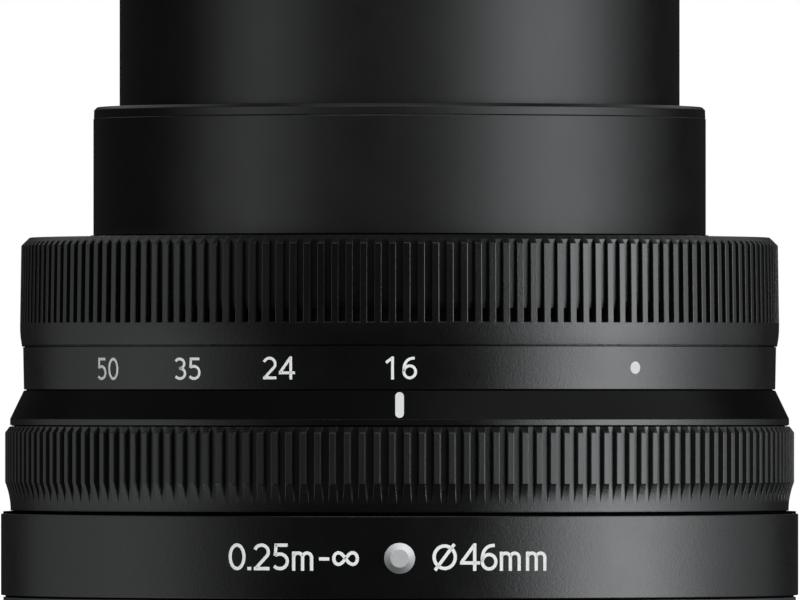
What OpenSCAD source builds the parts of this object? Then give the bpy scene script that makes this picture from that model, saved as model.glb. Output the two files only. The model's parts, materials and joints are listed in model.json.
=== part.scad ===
// Collapsible camera zoom lens: two telescoping tubes, a zoom ring, a control ring and a bayonet mount.
// Millimetres. The origin is on the optical axis in the plane of the mount flange; +Z runs to the front.
// The rest position is extended, with the zoom ring at its first number.

/* [Radial stack, from the optical axis outwards] */
// Outer diameter of the inner tube
inner_tube_d = 49.18; // [48:0.02:52]
// Wall of the inner tube
inner_tube_wall = 1.09; // [0.9:0.01:1.3]
// Radial gap between tubes and rings that move past each other
slide_gap = 0.2; // [0.1:0.01:0.3]
// Wall of the cam tube
cam_tube_wall = 0.95; // [0.7:0.01:1.4]
// Wall of the outer tube
outer_tube_wall = 0.95; // [0.7:0.01:1.4]
// Wall of the fixed barrel
fixed_barrel_wall = 1; // [0.8:0.01:1.5]
// Wall of the zoom drive ring
drive_ring_wall = 1.9; // [1.4:0.01:2.5]
// Wall of the zoom grip at its widest
grip_wall = 2.95; // [2.5:0.01:4]
// Wall of the zoom scale ring at its top edge
scale_wall = 2.67; // [2:0.01:3.5]
// Wall of the index collar's skirt
collar_wall = 1; // [0.8:0.01:1.4]
// Wall of the control ring over its ridges
control_wall = 3.05; // [2.6:0.01:4]
// Step from the control ring's ridges out to the rear barrel
rear_barrel_step = 0.36; // [0.1:0.01:1]
// Wall of the rear barrel
rear_barrel_wall = 1.6; // [1.2:0.01:2]

/* [Axial stack, from the flange forwards] */
// Height of the mount rim that shows under the rear barrel
rim_h = 0.53; // [0.3:0.01:1]
// Height of the rear barrel
rear_barrel_h = 7.42; // [6.8:0.01:9]
// Axial gap at each end of a turning ring
turn_gap = 0.1; // [0.05:0.01:0.2]
// Height of the control ring
control_h = 7.45; // [6.5:0.01:9]
// Height of the index collar's straight rim
collar_rim_h = 0.55; // [0.3:0.01:1]
// Height of the index collar's cone
collar_cone_h = 2.48; // [2:0.01:4]
// Height of the zoom scale ring
scale_h = 3.8; // [3:0.01:5]
// Height of the zoom grip
grip_h = 9.47; // [8:0.01:11]
// How far the outer tube comes out
outer_travel = 11.5; // [9:0.1:14]
// How far the inner tube comes out of the outer tube
inner_travel = 13.5; // [12:0.1:15]

/* [Bayonet mount] */
// Diameter of the bayonet collar
bayonet_d = 54.8; // [54:0.1:56]
// Wall of the bayonet collar
bayonet_wall = 1.5; // [1.2:0.1:1.8]
// Length of the bayonet collar behind the flange
bayonet_l = 5.2; // [4.8:0.1:7]
// Chamfer at the end of the bayonet collar
collar_chamfer = 0.3; // [0.1:0.05:0.5]
// How far the lugs stand out of the collar
lug_reach = 1.9; // [1:0.1:2.2]
// Thickness of the lugs
lug_h = 1.4; // [1:0.1:1.8]
// Distance from the flange to the front of the lugs
lug_drop = 2.2; // [1.6:0.1:2.6]
// Angles of the four lugs' widths, in turn
lug_spans = [40, 34, 40, 34]; // [20:1:45]
// Angle at which the first lug is centred
lug_turn = 20; // [10:1:30]
// Width of the relief around the collar
relief_w = 2.4; // [2.2:0.1:2.7]
// Depth of the relief around the collar
relief_h = 0.3; // [0.1:0.05:0.6]
// Thickness of the mount plate
mount_plate_h = 2.2; // [1.8:0.1:2.8]
// Step of the mount rim inside the rear barrel's outline
rim_step = 0.2; // [0.05:0.05:0.5]
// Inner diameter of the mount plate
plate_bore_d = 49.2; // [48:0.1:50]
// Depth of the seat for the rear baffle under the plate's top
baffle_seat_drop = 1; // [0.6:0.1:1.4]
// Distance of the mount screws' axes inside the rear barrel's bore
screw_inset = 1.9; // [1.8:0.05:2.1]
// Diameter of a mount screw's head
screw_head_d = 2.7; // [2:0.1:3]
// Height of a mount screw's head
screw_head_h = 0.8; // [0.5:0.1:1]
// Length and width of the cross in a mount screw's head
screw_cross = [1.6, 0.3]; // [0.2:0.1:1.9]
// Diameter of a mount screw's shank
screw_d = 1.4; // [1:0.1:1.6]
// Length of a mount screw under its head
screw_l = 4; // [3:0.1:4.6]
// Wall of the bosses that take the mount screws
boss_wall = 0.8; // [0.6:0.1:0.9]
// Recess of the screw heads and other sunk pieces below their faces
sunk = 0.15; // [0.05:0.05:0.3]
// Diameter of the lock pin hole in the flange
lock_hole_d = 2.6; // [2:0.1:3]
// Depth of the lock pin hole
lock_hole_h = 1.4; // [1:0.1:1.6]
// Number of mount screws
screw_count = 4; // [3:1:4]

/* [Rear pieces] */
// Gap between pieces that are fitted into each other
seat_gap = 0.05; // [0.02:0.01:0.1]
// Chamfer of the rear barrel's edges
rear_chamfer = 0.2; // [0.1:0.01:0.5]
// Ledge inside the rear barrel, inwards from its wall
ledge_w = 1.8; // [1.4:0.1:2]
// Height of that ledge, and of the flange that lies on it
ledge_h = 1; // [0.8:0.1:1.2]
// Depth of that flange's top below the rear barrel's top
flange_drop = 0.15; // [0.1:0.05:0.3]
// Base diameter of the mount index bead
bead_d = 2.66; // [2:0.02:3.2]
// Diameter of the bead's flat face
bead_face_d = 1.58; // [1:0.02:2]
// How far the bead stands out of the rear barrel
bead_h = 0.5; // [0.3:0.05:0.8]
// Height of the bead above the flange
bead_z = 4.2; // [3.5:0.1:4.6]
// Thickness of the rear baffle
baffle_t = 0.8; // [0.6:0.1:1]
// Wall of the rear baffle's skirt
baffle_wall = 1.1; // [0.8:0.1:1.2]
// Depth of the baffle's rear face inside the collar
baffle_inset = 0.8; // [0.6:0.1:1]
// Width and height of the baffle's window
baffle_window = [26, 18]; // [14:1:30]
// Thickness of the contact block
contact_block_h = 0.6; // [0.5:0.05:0.7]
// Radial width of the contact block
contact_block_w = 3.6; // [3:0.1:4]
// Distance of the contact block from the baffle's edge
contact_inset = 0.4; // [0.2:0.1:0.6]
// Number of contact pins
contact_count = 11; // [7:1:12]
// Diameter of a contact pin
contact_d = 1.1; // [0.8:0.1:1.3]
// Angle between contact pins
contact_step = 6; // [5:0.5:6.5]
// Thickness of the rear frame's walls
frame_t = 1; // [0.8:0.1:1.2]
// Floor left under the blind holes in the rear frame
hole_floor = 0.2; // [0.15:0.05:0.3]
// Depth of the rear frame's well below the mount plate's top
well_drop = 0.9; // [0.7:0.1:1.1]
// Thickness of the circuit board
board_t = 0.6; // [0.5:0.1:0.8]
// Radial width of the circuit board
board_w = 4.6; // [4:0.1:4.8]
// Angle that the circuit board covers
board_span = 240; // [150:5:250]
// Side of a chip on the board
chip_w = 3.4; // [2.5:0.1:3.8]
// Height of a chip
chip_h = 1.1; // [0.8:0.1:1.4]
// Number of chips
chip_count = 6; // [3:1:8]

/* [Control ring] */
// Number of slots in the control ring
control_slots = 168; // [100:2:180]
// Width of a slot at its mouth
control_slot_w = 0.75; // [0.5:0.01:0.8]
// Width of a slot at its floor
control_slot_floor_w = 0.45; // [0.3:0.01:0.5]
// Depth of a slot
control_slot_depth = 0.44; // [0.2:0.01:0.6]
// Width of the top chamfer
control_chamfer_w = 0.4; // [0.2:0.01:0.5]
// Height of the top chamfer
control_chamfer_h = 0.54; // [0.3:0.01:0.8]
// Depth of the waist under the ridges
control_waist = 0.48; // [0.3:0.01:0.7]
// Height of the straight waist
control_waist_h = 0.1; // [0.05:0.05:0.9]
// Height of the hollow curve from the waist to the ridges
control_curve_h = 2.47; // [1:0.01:3]
// Section of the magnet ring in the control ring
magnet_w = 0.55; // [0.4:0.05:0.8]
// Height of the magnet ring
magnet_h = 1.5; // [1:0.1:2]
// Width of the position sensor in the collar's skirt
sensor_w = 3; // [2:0.1:4]

/* [Index collar and zoom ring] */
// Step of the collar's rim inside the control ring's ridges
collar_step = 0.44; // [0.2:0.02:0.8]
// Step of the collar's top inside its rim
collar_taper = 1.2; // [0.8:0.02:1.6]
// Taper of the scale ring towards its lower edge
scale_taper = 0.07; // [0:0.01:0.2]
// Chamfer at the scale ring's edges
scale_chamfer = 0.08; // [0.04:0.01:0.15]
// Height of the plain band under the grip's slots
grip_band_h = 2.03; // [1.4:0.01:3]
// Depth of the rounding under the plain band
grip_round = 0.17; // [0.05:0.01:0.3]
// Share of the plain band's height that is rounded
grip_round_share = 0.8; // [0.5:0.05:1]
// Taper of the grip towards its chamfer
grip_taper = 0.12; // [0:0.01:0.3]
// Width of the grip's top chamfer
grip_chamfer_w = 0.68; // [0.3:0.01:0.9]
// Height of the grip's top chamfer
grip_chamfer_h = 0.68; // [0.3:0.01:0.9]
// Number of slots in the grip
grip_slots = 168; // [100:2:180]
// Width of a slot
grip_slot_w = 0.62; // [0.4:0.01:0.7]
// Depth of a slot from the grip's widest line
grip_slot_depth = 0.52; // [0.3:0.01:1]
// Thickness of the grip's front lip
grip_lip_h = 1.25; // [1:0.05:1.6]
// Height of a felt seal
felt_h = 0.5; // [0.3:0.05:0.6]
// Width of a felt seal
felt_w = 0.85; // [0.6:0.05:1]
// Gap between a felt seal and the tube that slides in it
felt_gap = 0.08; // [0.04:0.01:0.1]

/* [Zoom mechanism] */
// Turn of the zoom ring that brings the tubes out
retract_deg = 38.9; // [30:0.1:45]
// Length of the outer tube below its trim ring
outer_tube_l = 18; // [17:0.1:19]
// Height of the trim ring at the outer tube's mouth
trim_h = 1; // [0.8:0.05:1.5]
// Step of the trim ring inside the outer tube's outline
trim_step = 0.04; // [0:0.01:0.2]
// Chamfer of the trim ring
trim_chamfer = 0.26; // [0.1:0.02:0.4]
// How far the cam tube reaches below the outer tube
cam_tail = 3.65; // [3.4:0.05:4]
// Length of the cam tube
cam_tube_l = 16.8; // [16.6:0.1:17.5]
// Diameter of the cam tube's drive pins
drive_pin_d = 2.2; // [1.6:0.1:2.6]
// Height of the drive pins above the cam tube's lower edge
drive_pin_up = 1.85; // [1.7:0.05:2]
// Depth of the drive pins in the drive ring's grooves
drive_pin_depth = 0.8; // [0.5:0.05:1]
// Diameter of the inner tube's follower pins
follower_d = 1.8; // [1.4:0.1:2]
// Height of the follower pins above the inner tube's lower edge
follower_up = 1.4; // [1.2:0.1:1.6]
// Side clearance of a pin or key in its slot
key_gap = 0.15; // [0.1:0.01:0.2]
// Width of the outer tube's keys and of the linear guide's tabs
key_w = 3; // [2:0.1:3.4]
// Height of the outer tube's keys
key_h = 3; // [2:0.1:4]
// Depth of the key grooves in the fixed barrel
key_groove_depth = 0.5; // [0.3:0.05:0.6]
// Thickness of the linear guide's ring
guide_h = 1.1; // [0.8:0.1:1.4]
// Length of the linear guide's bars
guide_bar_l = 16.1; // [15.5:0.1:16.3]
// Width of the linear guide's bars
guide_bar_w = 4; // [3:0.1:5]
// Radial thickness of the linear guide's bars
guide_bar_t = 1.25; // [1:0.05:1.3]
// Depth of the bars' grooves in the inner tube
bar_groove_depth = 0.55; // [0.4:0.05:0.6]

/* [Front group] */
// Height of the filter ring
filter_ring_h = 2.8; // [2.4:0.1:3.4]
// Wall of the filter ring outside the thread's minor diameter
filter_wall = 1.99; // [1.5:0.01:2.4]
// Length of the filter thread
filter_thread_l = 2.15; // [1.8:0.05:2.4]
// Width of the lip under the filter thread
thread_lip = 0.3; // [0.2:0.05:0.4]
// Chamfer at the filter ring's edges
filter_chamfer = 0.25; // [0.1:0.05:0.4]
// Length of the inner tube below the filter ring
inner_tube_l = 19.4; // [18.6:0.1:20]
// Depth of the front element's vertex behind the front rim
front_lens_depth = 2.6; // [2.5:0.1:2.8]
// Front element: diameter, front and back curve (minus is hollow), thickness
front_lens = [31, 60, -22, 1.3]; // [-200:0.1:200]
// Second element: diameter, front and back curve, thickness
second_lens = [24, 60, -20, 1]; // [-200:0.1:200]
// Third element: diameter, front and back curve, thickness
third_lens = [21, 24, -80, 2.4]; // [-200:0.1:200]
// Flat land around a deep hollow face
lens_land = 2.5; // [1:0.1:3]
// Gap on the axis from the front to the second element
front_air = 2.8; // [2.6:0.1:3.2]
// Gap on the axis from the second to the third element
second_air = 0.6; // [0.5:0.1:1]
// Wall of the front cell around the front element
front_cell_wall = 1.7; // [1.2:0.1:2.4]
// Thickness of the front cell's flange
front_flange_h = 1.4; // [1:0.1:1.8]
// Height of the front trim ring's seat on that flange
front_trim_h = 1.2; // [1:0.1:1.5]
// Ledge in the inner tube under the front cell's flange
front_ledge_h = 0.6; // [0.4:0.1:0.8]
// Width of that ledge
front_ledge_w = 0.9; // [0.6:0.1:1.2]
// How far the front trim ring's lip reaches over the front element
front_lip_w = 0.7; // [0.5:0.1:0.9]
// Thickness of that lip
front_lip_t = 0.5; // [0.3:0.05:0.55]
// Thickness of the front trim ring at its inner edge
front_dish_h = 0.55; // [0.4:0.05:0.8]
// Bevel of the front trim ring's edges
front_bevel = 0.2; // [0.1:0.05:0.3]
// Height of the cone between the front cell's two diameters
front_cone_h = 1.2; // [0.8:0.1:1.4]
// Width of the lip under the third element
third_lip_w = 0.9; // [0.6:0.1:1.2]
// Thickness of that lip
third_lip_h = 0.4; // [0.3:0.05:0.5]

/* [Variator and iris] */
// Height of the variator above the focus carriage when the lens is folded
variator_park_z = 5.3; // [5.2:0.1:6]
// Height of the variator cell
variator_h = 6.6; // [6.4:0.1:7]
// Outer diameter of the variator cell
variator_d = 26.6; // [24:0.1:27]
// Fourth element: diameter, front and back curve, thickness
fourth_lens = [15, 24, 60, 2.3]; // [-200:0.1:200]
// Fifth element: diameter, front and back curve, thickness
fifth_lens = [12.4, 26, 24, 2]; // [-200:0.1:200]
// Sixth element: diameter, front and back curve, thickness
sixth_lens = [12.4, -24, -80, 0.8]; // [-200:0.1:200]
// Flat land around the sixth element's hollow face
sixth_land = 0.4; // [0.2:0.1:0.6]
// Width of the lip under the sixth element
sixth_lip_w = 0.6; // [0.4:0.1:0.8]
// Gap on the axis from the fourth to the fifth element
fourth_air = 0.4; // [0.3:0.1:0.6]
// Layer of cement between the fifth and sixth elements
cement = 0.02; // [0.01:0.01:0.05]
// Depth of the fourth element's vertex in the cell
fourth_depth = 0.5; // [0.3:0.1:0.7]
// Thickness of the variator's arms and of its iris plates
arm_t = 1; // [0.8:0.1:1.2]
// Width of a variator arm
arm_w = 7.4; // [6.6:0.1:8]
// Gap between the variator's arms and the inner tube
arm_gap = 0.5; // [0.3:0.1:0.8]
// Outer diameter of the iris unit
iris_d = 32.4; // [31.6:0.1:33]
// Diameter of the open iris
iris_open_d = 13.2; // [12:0.1:14]
// Thickness of the iris base and cover
iris_plate_t = 0.5; // [0.4:0.05:0.6]
// Wall of the iris cover
iris_wall = 0.6; // [0.5:0.05:0.7]
// Number of iris blades
blade_count = 7; // [7:1:7]
// Thickness of an iris blade
blade_t = 0.16; // [0.1:0.01:0.2]
// Gap between blades
blade_gap = 0.08; // [0.05:0.01:0.1]
// Circle of the blade pivots
pivot_circle_d = 24; // [23.6:0.1:24.6]
// Diameter of a blade pivot
pivot_d = 0.8; // [0.6:0.05:1]
// Diameter of a blade's head around its pivot
blade_head_d = 2.4; // [2:0.1:2.8]
// Distance from a blade's pivot to its drive pin
blade_lever = 2; // [1.8:0.1:2.2]
// Diameter of a blade's drive pin
blade_pin_d = 0.6; // [0.4:0.05:0.7]
// Width of a blade
blade_w = 4; // [3.6:0.1:4.2]
// How far the open blades keep outside the open iris
blade_clear = 0.3; // [0.2:0.05:0.4]
// Angle that a blade covers
blade_span = 76; // [60:1:80]
// Swing of a blade from open to closed
blade_swing = 30; // [24:1:32]
// Thickness of the iris drive ring
iris_ring_t = 0.5; // [0.4:0.05:0.6]
// Width of the iris drive ring
iris_ring_w = 2.6; // [2.4:0.1:3]
// Gap above and below the iris drive ring
iris_gap = 0.2; // [0.15:0.01:0.25]

/* [Focus unit and rear element] */
// Rear element: diameter, front and back curve, thickness
rear_lens = [24, 70, 90, 3.2]; // [-200:0.1:200]
// Depth of the rear element's vertex below the well's floor
rear_lens_drop = 0.6; // [0.5:0.1:0.8]
// Width of the lip in front of the rear element
rear_lip_w = 1; // [0.6:0.1:1.2]
// Wall of the rear element's tube
rear_cell_wall = 1.2; // [0.8:0.1:1.6]
// Height of the rear retaining ring
rear_ring_h = 1.4; // [1:0.1:1.6]
// Width of the rear retaining ring
rear_ring_w = 1.4; // [1:0.1:1.8]
// How far the retaining ring stands out of the rear element's tube
rear_ring_show = 0.8; // [0.6:0.05:0.9]
// Focus element: diameter, front and back curve, thickness
focus_lens = [18, -90, -45, 0.9]; // [-200:0.1:200]
// Flat land around the focus element's hollow face
focus_land = 0.5; // [0.3:0.1:0.8]
// Depth of the focus element's front vertex in its carriage
focus_sink = 0.4; // [0.35:0.05:0.5]
// Rest height of the focus carriage above the well's floor
focus_rest = 0.5; // [0.45:0.05:0.6]
// Height of the focus carriage
carriage_h = 2; // [1.8:0.1:2.2]
// Wall of the carriage around its element
carriage_wall = 1.6; // [1.2:0.1:2]
// Diameter of a guide rod
rod_d = 1.2; // [0.8:0.1:1.4]
// Distance of the guide rods from the optical axis
rod_radius = 15.8; // [15:0.1:16.2]
// Angle of the first guide rod from the motor
rod_turn = 32; // [30:1:40]
// Length of a guide rod above the well's floor
rod_l = 4.3; // [4:0.1:4.6]
// Diameter of the carriage's sleeves
sleeve_d = 2.8; // [2.4:0.1:3]
// Width of the carriage's arms
carriage_arm_w = 2; // [1.6:0.1:2.2]
// Distance of the lead screw from the optical axis
screw_radius = 18.2; // [17.8:0.1:18.6]
// Diameter of the lead screw
lead_screw_d = 1.4; // [1:0.1:1.6]
// Diameter of the lead screw's pivot
lead_pivot_d = 0.8; // [0.6:0.1:1]
// Height of the motor bracket above the well's floor
bracket_z = 3.7; // [3.6:0.1:4]
// Thickness of the motor bracket
bracket_t = 0.6; // [0.5:0.05:0.8]
// Diameter of the bracket's posts
post_d = 1.8; // [1.4:0.1:2]
// Diameter of the focus motor
motor_d = 6; // [5:0.1:6.4]
// Height of the focus motor
motor_h = 5; // [4:0.1:5.2]

/* [Hidden] */
$fn = 120;
lens_fn = 256;
pin_fn = 48;
rod_fn = 32;
helix_slices = 28;
arc_steps = 8;
// How far a cutting shape runs past what it cuts
cut = 0.5;
// How far a knurl slot's mouth runs past the ridges
mouth_over = 0.05;

// Radii, each worked out from the one inside it
inner_r = inner_tube_d / 2;
inner_bore_r = inner_r - inner_tube_wall;
cam_bore_r = inner_r + slide_gap;
cam_r = cam_bore_r + cam_tube_wall;
outer_bore_r = cam_r + slide_gap;
outer_r = outer_bore_r + outer_tube_wall;
fixed_bore_r = outer_r + slide_gap;
fixed_r = fixed_bore_r + fixed_barrel_wall;
drive_bore_r = fixed_r + slide_gap;
drive_r = drive_bore_r + drive_ring_wall;
ring_bore_r = drive_r + slide_gap;
grip_r = ring_bore_r + grip_wall;
scale_r = ring_bore_r + scale_wall;
skirt_r = ring_bore_r + collar_wall;
control_bore_r = skirt_r + slide_gap;
control_r = control_bore_r + control_wall;
rear_r = control_r + rear_barrel_step;
rear_bore_r = rear_r - rear_barrel_wall;
ledge_r = rear_bore_r - ledge_w;
collar_r = control_r - collar_step;
zoom_felt_r = outer_r + felt_gap + felt_w;
outer_felt_r = inner_r + felt_gap + felt_w;

// Heights, each worked out from the one behind it
rear_top = rim_h + rear_barrel_h;
control_z = rear_top + turn_gap;
control_top = control_z + control_h;
collar_z = control_top + turn_gap;
collar_top = collar_z + collar_rim_h + collar_cone_h;
scale_z = collar_top + turn_gap;
scale_top = scale_z + scale_h;
grip_top = scale_top + grip_h;
outer_top = grip_top + outer_travel;
outer_z = outer_top - trim_h - outer_tube_l;
zoom_felt_z = grip_top - (grip_lip_h + felt_h) / 2;
outer_felt_z = outer_top - (trim_h + felt_h) / 2;
magnet_z = control_z + magnet_h / 2;
front_z = outer_top + inner_travel;
fixed_flange_top = rear_top - flange_drop;
fixed_flange_z = fixed_flange_top - ledge_h;
fixed_top = grip_top - grip_lip_h - slide_gap;
cam_z = outer_z - cam_tail;
guide_top = cam_z - key_gap;
guide_z = guide_top - guide_h;
drive_pin_z = cam_z + drive_pin_up;
inner_top = front_z - filter_ring_h;
inner_z = inner_top - inner_tube_l;
follower_z = inner_z + follower_up;

// Angles around the axis
index_turn = -90;
sensor_turn = 200;
thirds = [0, 120, 240];
follower_turn = 0;
drive_pin_turn = 80;
key_turn = 15;
bar_turn = 60;

// Rear pieces
bayonet_r = bayonet_d / 2;
bayonet_bore_r = bayonet_r - bayonet_wall;
plate_bore_r = plate_bore_d / 2;
relief_r = bayonet_r + relief_w;
rim_r = rear_r - rim_step;
spigot_r = rear_bore_r - seat_gap * 2;
baffle_r = bayonet_bore_r - seat_gap * 2;
baffle_z = -bayonet_l + baffle_inset;
baffle_top = mount_plate_h - baffle_seat_drop;
contact_r = baffle_r - contact_block_w / 2 - contact_inset;
contact_turn = 90;
screw_r = rear_bore_r - screw_inset;
screw_turn = 45;
screw_hole_d = screw_d + 2 * seat_gap;
head_hole_d = screw_head_d + 2 * seat_gap;
boss_r = screw_d / 2 + boss_wall;
boss_top = fixed_flange_z - ledge_h / 2;
lock_turn = 76;
frame_r = screw_r - boss_r - slide_gap;
frame_top = mount_plate_h + frame_t;
well_top = mount_plate_h - well_drop;
well_r = plate_bore_r - slide_gap;
hole_z = well_top - frame_t + hole_floor;
board_bore_r = frame_r - slide_gap - board_w;
board_turn = 150;
motor_turn = 90;
rod_turns = [motor_turn + rod_turn, motor_turn + 180];
rear_cell_r = rear_lens[0] / 2 + seat_gap;
rear_lens_z = well_top - rear_lens_drop;
rear_lens_back = rear_lens_z - rear_lens[3];
carriage_z = well_top + focus_rest;
focus_r = focus_lens[0] / 2;
focus_z = carriage_z + carriage_h - focus_sink;
bracket_base = well_top + bracket_z;
bracket_top = bracket_base + bracket_t;

// Front group, downwards from the front rim
thread_r = inner_r - filter_wall;
front_lens_z = front_z - front_lens_depth;
second_lens_z = front_lens_z - front_lens[3] - front_air;
third_lens_z = second_lens_z - second_lens[3] - second_air;
front_low = lens_low(front_lens, front_lens_z, lens_land);
second_low = lens_low(second_lens, second_lens_z, lens_land);
third_low = lens_low(third_lens, third_lens_z, 0);
front_cell_r = front_lens[0] / 2 + seat_gap + front_cell_wall;
front_flange_top = inner_top - front_trim_h;
front_flange_z = front_flange_top - front_flange_h;
bar_out_r = inner_bore_r + bar_groove_depth - slide_gap;
bar_in_r = bar_out_r - guide_bar_t;
bar_groove_top = front_flange_z - front_ledge_h - cut;

// Variator and iris, upwards from the cell's lower edge
variator_z = variator_park_z + outer_travel;
variator_top = variator_z + variator_h;
fourth_z = variator_top - fourth_depth;
fifth_z = fourth_z - fourth_lens[3] - fourth_air;
sixth_z = fifth_z - fifth_lens[3] - cement;
sixth_low = lens_low(sixth_lens, sixth_z, sixth_land);
iris_floor = variator_top + iris_plate_t;
blade_step = blade_t + blade_gap;
blade_z = iris_floor + blade_gap;
iris_ring_z = blade_z + blade_count * blade_step + iris_gap - blade_gap;
iris_cover_z = iris_ring_z + iris_ring_t + iris_gap;
iris_r = iris_d / 2;
iris_ring_r = iris_r - iris_wall - slide_gap;
pivot_r = pivot_circle_d / 2;
blade_bore_r = iris_open_d / 2 + blade_clear;
drive_turn = atan2(blade_lever * sin(blade_swing / 2), pivot_r + blade_lever * cos(blade_swing / 2));

function sag(curve, r) = curve - sqrt(curve * curve - r * r);
function lens_low(lens, z, land) =
    z - lens[3] - (lens[2] < 0 ? sag(-lens[2], lens[0] / 2 - land) : 0);

// Basic shapes
module up(z) {
    translate([0, 0, z])
        children();
}

module tube(r, bore_r, z0, z1) {
    difference() {
        up(z0)
            cylinder(r = r, h = z1 - z0);
        up(z0 - cut)
            cylinder(r = bore_r, h = z1 - z0 + 2 * cut);
    }
}

module sector(r, bore_r, z0, z1, turn, span) {
    rotate([0, 0, turn])
        rotate_extrude(angle = span)
            translate([bore_r, z0])
                square([r - bore_r, z1 - z0]);
}

module at(turn, r, z = 0) {
    rotate([0, 0, turn])
        translate([r, 0, z])
            children();
}

module radial_pin(turn, d, r0, r1, z) {
    rotate([0, 0, turn])
        translate([r0, 0, z])
            rotate([0, 90, 0])
                cylinder(d = d, h = r1 - r0, $fn = pin_fn);
}

module radial_bar(turn, w, r0, r1, z0, z1) {
    rotate([0, 0, turn])
        translate([r0, -w / 2, z0])
            cube([r1 - r0, w, z1 - z0]);
}

// A slot through a wall that climbs by rise over sweep degrees; the pin in it starts at height z
module helix_slot(turn, sweep, rise, z, pin_d, r0, r1) {
    over = pin_d / 2 + key_gap;
    climb = atan(rise / (abs(sweep) * PI / 180 * (r0 + r1) / 2));
    w = (pin_d + 2 * key_gap) / sin(climb);
    rate = sweep / rise;
    rotate([0, 0, turn - over * rate])
        up(z - over)
            linear_extrude(
                height = rise + 2 * over, twist = -sweep - 2 * over * rate, slices = helix_slices, $fn = 4
            )
                translate([r0 - cut, -w / 2])
                    square([r1 - r0 + 2 * cut, w]);
}

// A lens element with its front vertex at height z; lens is diameter, front curve, back curve, thickness
module lens(lens, z, land) {
    r = lens[0] / 2;
    back = z - lens[3];
    low = lens_low(lens, z, land);
    high = lens[1] < 0 ? z + sag(-lens[1], r) : z;
    color("lightcyan")
        difference() {
            lens_blank(lens, r, z, back, low, high);
            if (lens[1] < 0)
                up(z - lens[1])
                    sphere(r = -lens[1], $fn = lens_fn);
            if (lens[2] < 0)
                up(back + lens[2])
                    sphere(r = -lens[2], $fn = lens_fn);
        }
}

module lens_blank(lens, r, z, back, low, high) {
    if (lens[1] > 0 && lens[2] > 0)
        intersection() {
            up(low) cylinder(r = r, h = high - low);
            up(z - lens[1]) sphere(r = lens[1], $fn = lens_fn);
            up(back + lens[2]) sphere(r = lens[2], $fn = lens_fn);
        }
    else if (lens[1] > 0)
        intersection() {
            up(low) cylinder(r = r, h = high - low);
            up(z - lens[1]) sphere(r = lens[1], $fn = lens_fn);
        }
    else
        up(low) cylinder(r = r, h = high - low);
}

// Mount and rear pieces
module bayonet_mount() {
    color("dimgray")
        difference() {
            union() {
                rotate_extrude()
                    polygon([
                        [bayonet_bore_r, -bayonet_l],
                        [bayonet_r - collar_chamfer, -bayonet_l],
                        [bayonet_r, -bayonet_l + collar_chamfer],
                        [bayonet_r, relief_h],
                        [relief_r, relief_h],
                        [relief_r, 0],
                        [rim_r - rim_step, 0],
                        [rim_r, rim_step],
                        [rim_r, rim_h],
                        [spigot_r, rim_h],
                        [spigot_r, mount_plate_h],
                        [plate_bore_r, mount_plate_h],
                        [plate_bore_r, baffle_top],
                        [bayonet_bore_r, baffle_top]
                    ]);
                for (i = [0:len(lug_spans) - 1])
                    sector(bayonet_r + lug_reach, bayonet_r - cut, -lug_drop - lug_h, -lug_drop,
                           lug_turn + 360 / len(lug_spans) * i - lug_spans[i] / 2, lug_spans[i]);
            }
            for (i = [0:screw_count - 1])
                at(screw_turn + 360 / screw_count * i, screw_r) {
                    up(-cut)
                        cylinder(d = screw_hole_d, h = mount_plate_h + 2 * cut, $fn = pin_fn);
                    up(-cut)
                        cylinder(d = head_hole_d, h = cut + sunk + screw_head_h, $fn = pin_fn);
                }
            at(lock_turn, screw_r, -cut)
                cylinder(d = lock_hole_d, h = lock_hole_h + cut, $fn = pin_fn);
        }
}

module mount_screws() {
    color("silver")
        for (i = [0:screw_count - 1])
            at(screw_turn + 360 / screw_count * i, screw_r, sunk)
                difference() {
                    union() {
                        cylinder(d = screw_head_d, h = screw_head_h, $fn = pin_fn);
                        cylinder(d = screw_d, h = screw_head_h + screw_l, $fn = pin_fn);
                    }
                    for (a = [0, 90])
                        rotate([0, 0, a])
                            translate([-screw_cross[0] / 2, -screw_cross[1] / 2, -cut])
                                cube([screw_cross[0], screw_cross[1], cut + screw_head_h / 2]);
                }
}

module rear_barrel() {
    color("#161617")
        difference() {
            union() {
                rotate_extrude()
                    polygon([
                        [rear_bore_r, rim_h],
                        [rear_r - rear_chamfer, rim_h],
                        [rear_r, rim_h + rear_chamfer],
                        [rear_r, rear_top - rear_chamfer],
                        [rear_r - rear_chamfer, rear_top],
                        [rear_bore_r, rear_top],
                        [rear_bore_r, fixed_flange_z],
                        [ledge_r, fixed_flange_z],
                        [ledge_r, fixed_flange_z - ledge_h],
                        [rear_bore_r, fixed_flange_z - ledge_h]
                    ]);
                for (i = [0:screw_count - 1])
                    at(screw_turn + 360 / screw_count * i, screw_r) {
                        up(mount_plate_h)
                            cylinder(r = boss_r, h = boss_top - mount_plate_h, $fn = pin_fn);
                        translate([0, -boss_r / 2, mount_plate_h])
                            cube([rear_bore_r - screw_r + cut, boss_r, boss_top - mount_plate_h]);
                    }
            }
            for (i = [0:screw_count - 1])
                at(screw_turn + 360 / screw_count * i, screw_r)
                    cylinder(d = screw_hole_d, h = 2 * sunk + screw_head_h + screw_l, $fn = pin_fn);
            bead_shape(seat_gap);
        }
}

// Truncated cone on a stem, set radially into the rear barrel at the index angle
module bead_shape(extra) {
    rotate([0, 0, index_turn])
        translate([rear_r - sunk - extra, 0, bead_z])
            rotate([0, 90, 0]) {
                cylinder(d = bead_d + 2 * extra, h = sunk + extra, $fn = pin_fn);
                up(-rear_barrel_wall / 2)
                    cylinder(d = bead_face_d + 2 * extra, h = rear_barrel_wall / 2 + extra, $fn = pin_fn);
            }
}

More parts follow.
